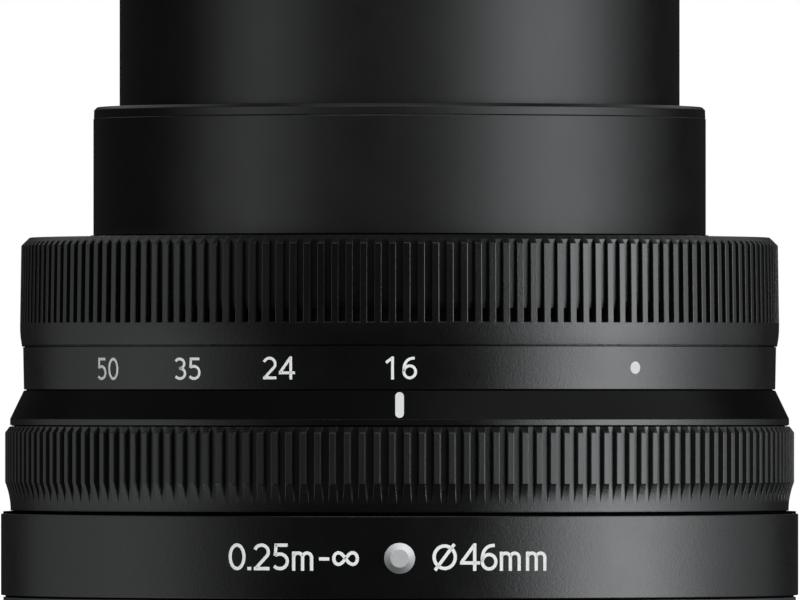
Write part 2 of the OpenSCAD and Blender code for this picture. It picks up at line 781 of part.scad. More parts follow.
module mount_index_bead() {
    color("white") {
        bead_shape(0);
        rotate([0, 0, index_turn])
            translate([rear_r, 0, bead_z])
                rotate([0, 90, 0])
                    cylinder(d1 = bead_d, d2 = bead_face_d, h = bead_h, $fn = pin_fn);
    }
}

module fixed_barrel() {
    color("#2a2a2c")
        difference() {
            rotate_extrude()
                polygon([
                    [fixed_bore_r, fixed_flange_z],
                    [spigot_r, fixed_flange_z],
                    [spigot_r, fixed_flange_top],
                    [fixed_r, fixed_flange_top],
                    [fixed_r, fixed_top],
                    [fixed_bore_r, fixed_top]
                ]);
            for (t = thirds) {
                helix_slot(t + drive_pin_turn - retract_deg, retract_deg, outer_travel,
                           drive_pin_z - outer_travel, drive_pin_d, fixed_bore_r, fixed_r);
                radial_bar(t + key_turn, key_w + 2 * key_gap, fixed_bore_r - cut,
                           fixed_bore_r + key_groove_depth, guide_z - outer_travel - 2 * key_gap,
                           outer_z + key_h + 2 * key_gap);
            }
        }
}

module index_collar() {
    color("#141415")
        difference() {
            rotate_extrude()
                polygon([
                    [ring_bore_r, fixed_flange_top],
                    [skirt_r, fixed_flange_top],
                    [skirt_r, collar_z],
                    [collar_r, collar_z],
                    [collar_r, collar_z + collar_rim_h],
                    [collar_r - collar_taper, collar_top],
                    [ring_bore_r, collar_top]
                ]);
            sensor_block(seat_gap);
        }
}

module sensor_block(extra) {
    rotate([0, 0, sensor_turn])
        translate([ring_bore_r - extra, -sensor_w / 2 - extra, magnet_z - extra])
            cube([collar_wall - slide_gap + 2 * extra, sensor_w + 2 * extra, magnet_h + 2 * extra]);
}

module hall_sensor() {
    color("darkslategray")
        sensor_block(0);
}

module rear_baffle() {
    color("#101010")
        difference() {
            rotate_extrude()
                polygon([
                    [0, baffle_z],
                    [baffle_r, baffle_z],
                    [baffle_r, baffle_top],
                    [baffle_r - baffle_wall, baffle_top],
                    [baffle_r - baffle_wall, baffle_z + baffle_t],
                    [0, baffle_z + baffle_t]
                ]);
            translate([-baffle_window[0] / 2, -baffle_window[1] / 2, baffle_z - cut])
                cube([baffle_window[0], baffle_window[1], baffle_t + 2 * cut]);
        }
}

module contact_block() {
    color("#1c1c1e")
        difference() {
            sector(contact_r + contact_block_w / 2, contact_r - contact_block_w / 2,
                   baffle_z - contact_block_h, baffle_z,
                   contact_turn - contact_count * contact_step / 2, contact_count * contact_step);
            contact_row(contact_d + 2 * seat_gap, baffle_z - contact_block_h - cut, baffle_z - sunk);
        }
}

module contact_row(d, z0, z1) {
    for (i = [0:contact_count - 1])
        at(contact_turn + (i - (contact_count - 1) / 2) * contact_step, contact_r, z0)
            cylinder(d = d, h = z1 - z0, $fn = rod_fn);
}

module contact_pins() {
    color("gold")
        contact_row(contact_d, baffle_z - contact_block_h - sunk / 2, baffle_z - sunk);
}

module rear_frame() {
    lip_r = rear_cell_r - rear_lip_w;
    lip_z = rear_lens_z - sag(rear_lens[1], lip_r) + seat_gap;
    tube_z = rear_lens_back - rear_ring_h + rear_ring_show;
    color("#303236")
        difference() {
            rotate_extrude()
                polygon([
                    [rear_cell_r, tube_z],
                    [rear_cell_r + rear_cell_wall, tube_z],
                    [rear_cell_r + rear_cell_wall, well_top - frame_t],
                    [well_r, well_top - frame_t],
                    [well_r, mount_plate_h],
                    [frame_r, mount_plate_h],
                    [frame_r, frame_top],
                    [well_r - frame_t, frame_top],
                    [well_r - frame_t, well_top],
                    [lip_r, well_top],
                    [lip_r, lip_z],
                    [rear_cell_r, lip_z]
                ]);
            for (t = rod_turns)
                at(t, rod_radius, hole_z)
                    cylinder(d = rod_d + 2 * seat_gap, h = frame_t, $fn = rod_fn);
            at(motor_turn, screw_radius, hole_z)
                cylinder(d = lead_pivot_d + 2 * seat_gap, h = frame_t, $fn = rod_fn);
        }
}

module rear_element() {
    lens(rear_lens, rear_lens_z, 0);
}

module rear_retaining_ring() {
    ring_r = rear_cell_r - rear_ring_w;
    z1 = rear_lens_back + sag(rear_lens[2], ring_r) - seat_gap;
    color("#202020")
        tube(rear_cell_r - seat_gap, ring_r, z1 - rear_ring_h, z1);
}

module circuit_board() {
    color("darkgreen")
        sector(board_bore_r + board_w, board_bore_r, frame_top, frame_top + board_t,
               board_turn, board_span);
}

module board_chips() {
    color("#222222")
        for (i = [0:chip_count - 1])
            rotate([0, 0, board_turn + board_span * (i + 0.5) / chip_count])
                translate([board_bore_r + (board_w - chip_w) / 2, -chip_w / 2, frame_top + board_t])
                    cube([chip_w, chip_w, chip_h]);
}

// Focus unit
module motor_bracket() {
    arm_l = 1.5 * post_d;
    post_x = (motor_d + post_d) / 2;
    post_y = screw_radius + motor_d / 8 + post_d / 2;
    color("silver")
        difference() {
            union() {
                at(motor_turn, screw_radius, bracket_base)
                    cylinder(d = motor_d, h = bracket_t);
                for (side = [-1, 1]) {
                    translate([side * post_x - arm_l / 2, post_y - post_d / 2, bracket_base])
                        cube([arm_l, post_d, bracket_t]);
                    translate([side * post_x, post_y, well_top])
                        cylinder(d = post_d, h = bracket_top - well_top, $fn = rod_fn);
                }
            }
            at(motor_turn, screw_radius, bracket_base - cut)
                cylinder(d = lead_screw_d + 2 * key_gap, h = bracket_t + 2 * cut, $fn = rod_fn);
        }
}

module focus_motor() {
    color("gainsboro")
        difference() {
            at(motor_turn, screw_radius, bracket_top)
                cylinder(d = motor_d, h = motor_h);
            at(motor_turn, screw_radius, bracket_top - cut)
                cylinder(d = lead_screw_d + 2 * seat_gap, h = motor_h / 2 + cut, $fn = rod_fn);
        }
}

module lead_screw() {
    screw_z = well_top + key_gap;
    screw_top = bracket_top + motor_h / 2 - key_gap;
    pivot_z = hole_z + slide_gap;
    color("silver")
        at(motor_turn, screw_radius) {
            up(screw_z)
                cylinder(d = lead_screw_d, h = screw_top - screw_z, $fn = rod_fn);
            up(pivot_z)
                cylinder(d = lead_pivot_d, h = screw_z - pivot_z + cut, $fn = rod_fn);
        }
}

module focus_guide_rods() {
    color("silver")
        for (t = rod_turns)
            at(t, rod_radius, hole_z)
                cylinder(d = rod_d, h = rod_l + well_top - hole_z, $fn = rod_fn);
}

module focus_carriage() {
    wall_r = focus_r + seat_gap + carriage_wall;
    color("#252527")
        difference() {
            union() {
                up(carriage_z)
                    cylinder(r = wall_r, h = carriage_h);
                for (t = rod_turns)
                    carriage_arm(t, wall_r - cut, rod_radius);
                carriage_arm(motor_turn, wall_r - cut, screw_radius);
            }
            up(carriage_z - cut)
                cylinder(r = focus_r + seat_gap, h = carriage_h + 2 * cut);
            for (t = rod_turns)
                at(t, rod_radius, carriage_z - cut)
                    cylinder(d = rod_d + 2 * seat_gap, h = carriage_h + 2 * cut, $fn = rod_fn);
            at(motor_turn, screw_radius, carriage_z - cut)
                cylinder(d = lead_screw_d + 2 * seat_gap, h = carriage_h + 2 * cut, $fn = rod_fn);
        }
}

module carriage_arm(turn, r0, r1) {
    radial_bar(turn, carriage_arm_w, r0, r1, carriage_z, carriage_z + carriage_h);
    at(turn, r1, carriage_z)
        cylinder(d = sleeve_d, h = carriage_h, $fn = rod_fn);
}

module focus_element() {
    lens(focus_lens, focus_z, focus_land);
}

// Control ring
module control_ring() {
    waist_z = control_z + control_waist_h;
    waist_r = control_r - control_waist;
    color("#131314")
        difference() {
            rotate_extrude()
                polygon(concat(
                    [[control_bore_r, control_z], [waist_r, control_z]],
                    [for (i = [0:arc_steps])
                        [waist_r + control_waist * pow(i / arc_steps, 2),
                         waist_z + control_curve_h * i / arc_steps]],
                    [[control_r, control_top - control_chamfer_h],
                     [control_r - control_chamfer_w, control_top],
                     [control_bore_r, control_top]]));
            for (i = [0:control_slots - 1])
                rotate([0, 0, index_turn + 360 / control_slots * i])
                    up(waist_z)
                        linear_extrude(height = control_h)
                            polygon([
                                [control_r - control_slot_depth, -control_slot_floor_w / 2],
                                [control_r + mouth_over, -control_slot_w / 2],
                                [control_r + mouth_over, control_slot_w / 2],
                                [control_r - control_slot_depth, control_slot_floor_w / 2]
                            ]);
            tube(control_bore_r + magnet_w + seat_gap, control_bore_r - cut,
                 magnet_z - seat_gap, magnet_z + magnet_h + seat_gap);
        }
}

module control_magnet_ring() {
    color("dimgray")
        tube(control_bore_r + magnet_w, control_bore_r, magnet_z, magnet_z + magnet_h);
}

// Zoom rings
module zoom_drive_ring() {
    color("#2c2c2e")
        difference() {
            tube(drive_r, drive_bore_r, fixed_flange_top + turn_gap, fixed_top);
            for (t = thirds)
                radial_bar(t + drive_pin_turn, drive_pin_d + 2 * key_gap, drive_bore_r - cut,
                           drive_bore_r + drive_pin_depth + key_gap,
                           drive_pin_z - outer_travel - drive_pin_d, drive_pin_z + drive_pin_d);
        }
}

module zoom_scale_ring() {
    color("#121213")
        rotate_extrude()
            polygon([
                [ring_bore_r, scale_z],
                [scale_r - scale_taper - scale_chamfer, scale_z],
                [scale_r - scale_taper, scale_z + scale_chamfer],
                [scale_r, scale_top - scale_chamfer],
                [scale_r - scale_chamfer, scale_top],
                [ring_bore_r, scale_top]
            ]);
}

module zoom_grip() {
    shoulder_r = grip_r - grip_taper;
    lip_z = grip_top - grip_lip_h;
    color("#131314")
        difference() {
            rotate_extrude()
                polygon(concat(
                    [[ring_bore_r, scale_top]],
                    [for (i = [0:arc_steps])
                        [grip_r - grip_round * (1 - sin(90 * i / arc_steps)),
                         scale_top + grip_band_h * grip_round_share * (1 - cos(90 * i / arc_steps))]],
                    [[shoulder_r, grip_top - grip_chamfer_h],
                     [shoulder_r - grip_chamfer_w, grip_top],
                     [fixed_bore_r, grip_top],
                     [fixed_bore_r, lip_z],
                     [ring_bore_r, lip_z]]));
            for (i = [0:grip_slots - 1])
                radial_bar(index_turn + 360 / grip_slots * i, grip_slot_w,
                           grip_r - grip_slot_depth, grip_r + cut, scale_top + grip_band_h, grip_top + cut);
            tube(zoom_felt_r + seat_gap, fixed_bore_r - cut,
                 zoom_felt_z - seat_gap, zoom_felt_z + felt_h + seat_gap);
        }
}

module zoom_felt_ring() {
    color("#0c0c0c")
        tube(zoom_felt_r, outer_r + felt_gap, zoom_felt_z, zoom_felt_z + felt_h);
}

// Outer tube and what travels with it
module outer_tube() {
    color("#171718") {
        tube(outer_r, outer_bore_r, outer_z, outer_top - trim_h);
        for (t = thirds)
            difference() {
                radial_bar(t + key_turn, key_w, outer_r - outer_tube_wall / 2,
                           fixed_bore_r + key_groove_depth - key_gap, outer_z, outer_z + key_h);
                up(outer_z - cut)
                    cylinder(r = outer_r - outer_tube_wall / 4, h = key_h + 2 * cut);
            }
    }
}

module outer_trim_ring() {
    trim_r = outer_r - trim_step;
    color("#111112")
        difference() {
            rotate_extrude()
                polygon([
                    [cam_bore_r, outer_top - trim_h],
                    [trim_r, outer_top - trim_h],
                    [trim_r, outer_top - trim_chamfer],
                    [trim_r - trim_chamfer, outer_top],
                    [cam_bore_r, outer_top]
                ]);
            tube(outer_felt_r + seat_gap, cam_bore_r - cut,
                 outer_felt_z - seat_gap, outer_felt_z + felt_h + seat_gap);
        }
}

module outer_felt_ring() {
    color("#0c0c0c")
        tube(outer_felt_r, inner_r + felt_gap, outer_felt_z, outer_felt_z + felt_h);
}

module linear_guide() {
    bar_top = guide_top + guide_bar_l;
    color("#3a3a3d") {
        tube(outer_r - slide_gap, bar_in_r, guide_z, guide_top);
        for (t = thirds) {
            radial_bar(t + key_turn, key_w, outer_r - slide_gap - cut,
                       fixed_bore_r + key_groove_depth - key_gap, guide_z, guide_top);
            intersection() {
                tube(bar_out_r, bar_in_r, guide_top - cut, bar_top);
                radial_bar(t + bar_turn, guide_bar_w, bar_in_r - cut, bar_out_r + cut, guide_z, bar_top);
            }
        }
    }
}

module cam_tube() {
    color("#4a4a4e")
        difference() {
            tube(cam_r, cam_bore_r, cam_z, cam_z + cam_tube_l);
            for (t = thirds) {
                helix_slot(t + follower_turn + retract_deg, -retract_deg, inner_travel,
                           follower_z - inner_travel, follower_d, cam_bore_r, cam_r);
                radial_pin(t + drive_pin_turn, drive_pin_d + 2 * seat_gap,
                           cam_bore_r - cut, cam_r + cut, drive_pin_z);
            }
        }
}

module cam_drive_pins() {
    color("goldenrod")
        for (t = thirds)
            radial_pin(t + drive_pin_turn, drive_pin_d,
                       cam_bore_r + seat_gap, drive_bore_r + drive_pin_depth, drive_pin_z);
}

// Inner tube and the front group
module inner_tube() {
    color("#19191a")
        difference() {
            rotate_extrude()
                polygon([
                    [inner_bore_r, inner_z],
                    [inner_r, inner_z],
                    [inner_r, inner_top],
                    [inner_bore_r, inner_top],
                    [inner_bore_r, front_flange_z],
                    [inner_bore_r - front_ledge_w, front_flange_z],
                    [inner_bore_r - front_ledge_w, front_flange_z - front_ledge_h],
                    [inner_bore_r, front_flange_z - front_ledge_h]
                ]);
            for (t = thirds) {
                radial_bar(t + bar_turn, guide_bar_w + 2 * slide_gap, inner_bore_r - cut / 2,
                           inner_bore_r + bar_groove_depth, inner_z - cut, bar_groove_top);
                radial_pin(t + follower_turn, follower_d + 2 * seat_gap, inner_bore_r + inner_tube_wall / 3,
                           inner_r + cut, follower_z);
            }
        }
}

module inner_follower_pins() {
    color("goldenrod")
        for (t = thirds)
            radial_pin(t + follower_turn, follower_d, inner_bore_r + inner_tube_wall / 3 + seat_gap,
                       cam_r - slide_gap, follower_z);
}

module filter_ring() {
    color("#141415")
        rotate_extrude()
            polygon([
                [thread_r - thread_lip, inner_top],
                [inner_r, inner_top],
                [inner_r, front_z - filter_chamfer],
                [inner_r - filter_chamfer, front_z],
                [thread_r + filter_chamfer, front_z],
                [thread_r, front_z - filter_chamfer],
                [thread_r, front_z - filter_chamfer - filter_thread_l],
                [thread_r - thread_lip, front_z - filter_chamfer - filter_thread_l]
            ]);
}

module front_trim_ring() {
    face_r = thread_r - 2 * thread_lip;
    lip_r = front_lens[0] / 2 - front_lip_w;
    lip_z = front_lens_z - sag(front_lens[1], lip_r) + 2 * seat_gap;
    dish_z = front_flange_top + front_dish_h;
    color("#101011")
        rotate_extrude()
            polygon([
                [lip_r + front_lip_t, front_flange_top],
                [inner_bore_r - seat_gap, front_flange_top],
                [inner_bore_r - seat_gap, inner_top],
                [face_r, inner_top],
                [face_r - front_bevel, inner_top - front_bevel],
                [lip_r + front_lip_t, dish_z],
                [lip_r, dish_z - front_bevel],
                [lip_r, lip_z],
                [lip_r + front_lip_t, lip_z]
            ]);
}

module front_cell() {
    front_bore = front_lens[0] / 2 + seat_gap;
    second_bore = second_lens[0] / 2 + seat_gap;
    third_bore = third_lens[0] / 2 + seat_gap;
    color("#232325")
        rotate_extrude()
            polygon([
                [third_bore - third_lip_w, third_low - seat_gap - third_lip_h],
                [third_bore + front_cell_wall, third_low - seat_gap - third_lip_h],
                [third_bore + front_cell_wall, second_low - front_cone_h / 2],
                [front_cell_r, second_low + front_cone_h / 2],
                [front_cell_r, front_flange_z],
                [inner_bore_r - seat_gap, front_flange_z],
                [inner_bore_r - seat_gap, front_flange_top],
                [front_bore, front_flange_top],
                [front_bore, front_low - seat_gap],
                [second_bore, front_low - seat_gap],
                [second_bore, second_low - seat_gap],
                [third_bore, second_low - seat_gap],
                [third_bore, third_low - seat_gap],
                [third_bore - third_lip_w, third_low - seat_gap]
            ]);
}

module front_element() {
    lens(front_lens, front_lens_z, lens_land);
}

module second_element() {
    lens(second_lens, second_lens_z, lens_land);
}

module third_element() {
    lens(third_lens, third_lens_z, 0);
}

// Variator
module variator_cell() {
    fourth_bore = fourth_lens[0] / 2 + seat_gap;
    fifth_bore = fifth_lens[0] / 2 + seat_gap;
    seat_z = fourth_z - fourth_lens[3] + sag(fourth_lens[2], fifth_bore) - seat_gap;
    color("#26262a")
        difference() {
            union() {
                rotate_extrude()
                    polygon([
                        [fifth_bore - sixth_lip_w, variator_z],
                        [variator_d / 2, variator_z],
                        [variator_d / 2, variator_top - arm_t],
                        [iris_r, variator_top - arm_t],
                        [iris_r, variator_top],
                        [fourth_bore, variator_top],
                        [fourth_bore, seat_z],
                        [fifth_bore, seat_z],
                        [fifth_bore, sixth_low - seat_gap],
                        [fifth_bore - sixth_lip_w, sixth_low - seat_gap]
                    ]);
                for (t = thirds)
                    radial_bar(t + bar_turn, arm_w, iris_r - cut, inner_bore_r - arm_gap,
                               variator_top - arm_t, variator_top);
            }
            for (t = thirds)
                radial_bar(t + bar_turn, guide_bar_w + 2 * slide_gap, bar_in_r - slide_gap, inner_r,
                           variator_top - arm_t - cut, variator_top + cut);
        }
}

module fourth_element() {
    lens(fourth_lens, fourth_z, 0);
}

module fifth_element() {
    lens(fifth_lens, fifth_z, 0);
}

module sixth_element() {
    lens(sixth_lens, sixth_z, sixth_land);
}

// Iris: blades on pivots, each on its own level, turned by pins in the drive ring's slots
module iris_base() {
    color("#1a1a1c") {
        tube(iris_r, iris_open_d / 2, variator_top, iris_floor);
        for (i = [0:blade_count - 1])
            at(360 / blade_count * i, pivot_r, iris_floor - cut / 2)
                cylinder(d = pivot_d, h = cut / 2 + blade_gap + i * blade_step + blade_t, $fn = rod_fn);
    }
}

module iris_cover() {
    color("#1a1a1c")
        rotate_extrude()
            polygon([
                [iris_r - iris_wall, iris_floor],
                [iris_r, iris_floor],
                [iris_r, iris_cover_z + iris_plate_t],
                [iris_open_d / 2, iris_cover_z + iris_plate_t],
                [iris_open_d / 2, iris_cover_z],
                [iris_r - iris_wall, iris_cover_z]
            ]);
}

module iris_drive_ring() {
    slot_end = pivot_r + blade_lever + blade_pin_d / 2 + key_gap;
    color("#3c3c40")
        difference() {
            tube(iris_ring_r, iris_ring_r - iris_ring_w, iris_ring_z, iris_ring_z + iris_ring_t);
            for (i = [0:blade_count - 1])
                radial_bar(360 / blade_count * i - drive_turn, blade_pin_d + 2 * seat_gap,
                           iris_ring_r - iris_ring_w - cut, slot_end,
                           iris_ring_z - cut, iris_ring_z + iris_ring_t + cut);
        }
}

module blade(i) {
    z = blade_z + i * blade_step;
    color("#0e0e0f")
        rotate([0, 0, 360 / blade_count * i])
            difference() {
                union() {
                    sector(blade_bore_r + blade_w, blade_bore_r, z, z + blade_t, 0, blade_span);
                    translate([pivot_r, 0, z]) {
                        cylinder(d = blade_head_d, h = blade_t, $fn = pin_fn);
                        rotate([0, 0, -blade_swing / 2]) {
                            translate([0, -blade_pin_d, 0])
                                cube([blade_lever, 2 * blade_pin_d, blade_t]);
                            translate([blade_lever, 0, 0]) {
                                cylinder(r = blade_pin_d, h = blade_t, $fn = rod_fn);
                                cylinder(d = blade_pin_d, h = iris_ring_z + iris_ring_t - z, $fn = rod_fn);
                            }
                        }
                    }
                    translate([blade_bore_r + blade_w / 2, -blade_head_d / 2, z])
                        cube([pivot_r - blade_bore_r - blade_w / 2, blade_head_d, blade_t]);
                }
                translate([pivot_r, 0, z - cut])
                    cylinder(d = pivot_d + 2 * seat_gap, h = blade_t + 2 * cut, $fn = rod_fn);
            }
}

bayonet_mount();
mount_screws();
rear_barrel();
mount_index_bead();
index_collar();
fixed_barrel();
hall_sensor();
rear_baffle();
contact_block();
contact_pins();
rear_frame();
rear_element();
rear_retaining_ring();
circuit_board();
board_chips();
focus_motor();
motor_bracket();
focus_guide_rods();
lead_screw();
focus_carriage();
focus_element();
control_ring();
control_magnet_ring();
zoom_drive_ring();
zoom_scale_ring();
zoom_grip();
zoom_felt_ring();
outer_tube();
outer_trim_ring();
outer_felt_ring();
linear_guide();
cam_tube();
cam_drive_pins();
inner_tube();
inner_follower_pins();
filter_ring();
front_trim_ring();
front_cell();
front_element();
second_element();
third_element();
variator_cell();
fourth_element();
fifth_element();
sixth_element();
iris_base();
iris_cover();
iris_drive_ring();
blade(0);  // iris_blade_1
blade(1);  // iris_blade_2
blade(2);  // iris_blade_3
blade(3);  // iris_blade_4
blade(4);  // iris_blade_5
blade(5);  // iris_blade_6
blade(6);  // iris_blade_7
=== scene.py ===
"""Studio picture of a collapsible zoom lens: smooth turned shells, knurls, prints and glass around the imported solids.

Lengths in the tables are millimetres in the part's own frame; meshes are made in metres.
"""
import json
import math

import bmesh
import bpy
import numpy as np
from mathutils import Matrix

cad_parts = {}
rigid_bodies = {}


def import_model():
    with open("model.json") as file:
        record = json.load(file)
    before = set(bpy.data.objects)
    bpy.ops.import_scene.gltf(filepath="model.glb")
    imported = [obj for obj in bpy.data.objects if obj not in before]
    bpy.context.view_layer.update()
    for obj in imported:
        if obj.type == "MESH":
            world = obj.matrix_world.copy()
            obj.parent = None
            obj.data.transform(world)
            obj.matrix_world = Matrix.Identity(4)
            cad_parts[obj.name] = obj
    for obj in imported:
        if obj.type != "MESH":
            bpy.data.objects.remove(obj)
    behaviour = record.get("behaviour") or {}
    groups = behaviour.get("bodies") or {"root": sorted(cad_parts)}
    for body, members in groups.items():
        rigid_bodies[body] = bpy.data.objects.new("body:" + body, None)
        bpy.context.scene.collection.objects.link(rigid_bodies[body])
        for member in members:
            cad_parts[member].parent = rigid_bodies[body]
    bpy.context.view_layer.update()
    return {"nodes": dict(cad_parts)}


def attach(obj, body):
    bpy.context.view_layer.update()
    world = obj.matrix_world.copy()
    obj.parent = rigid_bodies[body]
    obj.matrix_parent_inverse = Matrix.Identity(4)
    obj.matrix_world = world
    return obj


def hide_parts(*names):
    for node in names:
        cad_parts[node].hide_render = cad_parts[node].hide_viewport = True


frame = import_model()

# One millimetre in metres, a full turn, the index line's angle, and how near to each other points are welded
MM = 0.001
TURN = 2 * np.pi
INDEX = -TURN / 4
WELD = 2e-8

# Radii of the shells and heights above the mount flange
INNER_R, INNER_BORE = 24.59, 23.5
TRIM_BORE, OUTER_BORE, OUTER_R = 24.79, 25.94, 26.89
LIP_BORE, RING_BORE, SKIRT_R = 27.09, 30.39, 31.39
SCALE_R, GRIP_R = 33.06, 33.34
CONTROL_BORE, CONTROL_R, COLLAR_R = 31.59, 34.64, 34.2
REAR_BORE, REAR_R = 33.4, 35.0
RIM_TOP, REAR_TOP = 0.53, 7.95
CONTROL_Z, CONTROL_TOP, CONTROL_FOOT = 8.05, 15.5, 2.57
SKIRT_Z, COLLAR_Z, CONE_Z, COLLAR_TOP = 7.8, 15.6, 16.15, 18.63
SCALE_Z, SCALE_TOP, GRIP_TOP = 18.73, 22.53, 32.0
OUTER_Z, TRIM_Z, OUTER_TOP = 24.5, 42.5, 43.5
INNER_Z, FILTER_Z, FRONT_Z = 34.8, 54.2, 57.0
FLOOR_Z = -5.2

# The rear barrel's shell with the web inside it, and how far the collar's cone and the scale's face draw in
SHELL_Z, SHELL_TOP = RIM_TOP + 0.17, REAR_TOP - 0.1
WEB_BORE, WEB_Z, WEB_TOP = 31.6, 5.8, 6.8
CONE_DROP, SCALE_TAPER, SCALE_RECESS_R = 1.2, 0.07, 32.8

# The groove between scale and grip, the grip's top face and inner lip, and the lower end and number of the slots
GROOVE_R, GROOVE_Z, GROOVE_TOP = 32.5, SCALE_TOP - 0.07, SCALE_TOP + 0.06
GRIP_FACE, LIP_Z, SLOT_Z = GRIP_TOP + 0.06, 30.75, SCALE_TOP + 2.03
KNURL_SLOTS = 168

# Keys at the outer tube's foot, and the seat inside the inner tube
KEY_BORE, KEY_R, KEY_TALL, KEY_SPAN = 26.4, 27.44, 3, 6.3
INNER_THIN, SEAT_BORE, SEAT_Z, SEAT_TOP = 24.06, 22.6, 50.55, 51.6

# Heights of the marks, and how tall the signs are
BEAD_Z, LINE_Z, DOT_Z, DOT_DEGREES = 4.2, 17.39, 20.6, 38.1
SCALE_PRINT_Z, SCALE_SIGNS, REAR_PRINT_Z, REAR_SIGNS = 20.57, 1.98, 4.3, 2.36


# Surfaces

def shell(points, edge=0.0, rows_closed=True, columns_closed=True):
    """One grid of points, how worn each point lies (0 on a face, 1 on an edge), and which ways it closes."""
    return points, np.broadcast_to(edge, points.shape[:2]), rows_closed, columns_closed


def grid_faces(rows, columns, rows_closed, columns_closed):
    """Corner numbers of the squares between neighbouring rows and columns, wound column before row."""
    i, j = np.meshgrid(np.arange(rows - (not rows_closed)), np.arange(columns - (not columns_closed)), indexing="ij")
    down, right = (i + 1) % rows, (j + 1) % columns
    corners = [i * columns + j, i * columns + right, down * columns + right, down * columns + j]
    return np.stack(corners, axis=-1).reshape(-1, 4)


def build(name, shells, body, slot, coat, *nodes, crease=32):
    """Joins grids into one mesh, welds seams and poles, and places the piece on its body, hiding its CAD nodes; the
    slot is not used.
    """
    points, faces, edges, count = [], [], [], 0
    for grid, edge, rows_closed, columns_closed in shells:
        rows, columns = grid.shape[:2]
        faces.append(grid_faces(rows, columns, rows_closed, columns_closed) + count)
        points.append(grid.reshape(-1, 3))
        edges.append(edge.ravel())
        count += rows * columns
    mesh = bpy.data.meshes.new(name)
    mesh.from_pydata((np.concatenate(points) * MM).tolist(), [], np.concatenate(faces).tolist())
    edge_weight = mesh.attributes.new("edge", "FLOAT", "POINT")
    edge_weight.data.foreach_set("value", np.concatenate(edges).astype(np.float32))
    welded = bmesh.new()
    welded.from_mesh(mesh)
    bmesh.ops.remove_doubles(welded, verts=welded.verts, dist=WELD)
    welded.to_mesh(mesh)
    welded.free()
    return place(name, mesh, body, slot, coat, *nodes, crease=crease)


def place(name, mesh, body, slot, coat, *nodes, crease=32):
    """Shades a mesh smooth up to a crease angle and makes it a piece that rides on a body."""
    mesh.polygons.foreach_set("use_smooth", np.ones(len(mesh.polygons), bool))
    mesh.set_sharp_from_angle(angle=math.radians(crease))
    mesh.materials.append(coat)
    piece = bpy.data.objects.new(name, mesh)
    bpy.context.scene.collection.objects.link(piece)
    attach(piece, body)
    if nodes:
        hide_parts(*nodes)
    return piece


def rounded(corners, steps=4):
    """Closed profile of (radius, height) points through corners of (radius, height, rounding).

    Each corner gives way to a parabola that leaves one side and meets the next at the rounding's distance, with one
    more point on each side to hold the flat face flat. The second result is the edge weight, largest mid-corner and
    zero where the rounding is wide.
    """
    wide, flat = 0.3, 0.4
    corners = np.array(corners, float)
    tip, cut = corners[:, :2], corners[:, 2:]
    back, ahead = np.roll(tip, 1, axis=0) - tip, np.roll(tip, -1, axis=0) - tip
    back /= np.linalg.norm(back, axis=1, keepdims=True)
    ahead /= np.linalg.norm(ahead, axis=1, keepdims=True)
    t = np.linspace(0, 1, steps + 1)[None, :, None]
    leave, meet = (tip + back * cut)[:, None], (tip + ahead * cut)[:, None]
    arc = (1 - t) ** 2 * leave + 2 * t * (1 - t) * tip[:, None] + t ** 2 * meet
    hold = flat * cut[:, None]
    points = np.concatenate([leave + back[:, None] * hold, arc, meet + ahead[:, None] * hold], axis=1)
    weight = np.concatenate([[0], np.sin(np.pi * t.ravel()), [0]]) * (cut < wide)
    return points.reshape(-1, 2), weight.ravel()


def with_rows(profile, weight, heights):
    """The same profile with points added at given heights on the first side that climbs past them."""
    heights = np.array(heights)
    z = profile[:, 1]
    below = np.argmax((z[:-1] < heights[:, None]) & (z[1:] >= heights[:, None]), axis=1)
    share = ((heights - z[below]) / (z[below + 1] - z[below]))[:, None]
    added = profile[below] + share * (profile[below + 1] - profile[below])
    return np.insert(profile, below + 1, added, axis=0), np.insert(weight, below + 1, 0)


def turned(radius, height, angle):
    """Points at (radius, height) swung round the optical axis by angle; all three spread to rows by columns."""
    radius, height, angle = np.broadcast_arrays(radius, height, angle)
    return np.stack([radius * np.cos(angle), radius * np.sin(angle), height], axis=-1)


def around(count):
    """Evenly spread angles of one full turn, the first at the index line."""
    return INDEX + TURN * np.arange(count) / count


def ring(corners, columns=288, steps=4):
    """A rounded closed profile turned about the optical axis."""
    profile, weight = rounded(corners, steps)
    return shell(turned(profile[:, :1], profile[:, 1:], around(columns)), weight[:, None])


def arc_block(r0, r1, z0, z1, middle, span, bevel, columns=24):
    """A bar bent round the axis: a rounded box section swept over span degrees.

    The section is drawn in at both ends and closes to a point there.
    """
    section, weight = rounded([(r0, z0, bevel), (r1, z0, bevel), (r1, z1, bevel), (r0, z1, bevel)])
    centre = np.array([(r0 + r1) / 2, (z0 + z1) / 2])
    half = math.radians(span) / 2
    slope = bevel / r1
    sweep = np.linspace(-half + slope, half - slope, columns)
    angle = np.concatenate([[-half, -half, -half + slope / 3], sweep, [half - slope / 3, half, half]])
    inset = 1 - 2 * bevel / min(r1 - r0, z1 - z0)
    shoulder = (2 + inset) / 3
    size = np.concatenate([[0, inset, shoulder], np.ones(columns), [shoulder, inset, 0]])
    points = centre + size[:, None, None] * (section - centre)
    grid = turned(points[..., 0].T, points[..., 1].T, math.radians(middle) + angle)
    return shell(grid, weight[:, None], columns_closed=False)


def sag(curve, radius):
    """Depth of a sphere's cap at a radius from the axis."""
    return abs(curve) - np.sqrt(curve * curve - radius * radius)


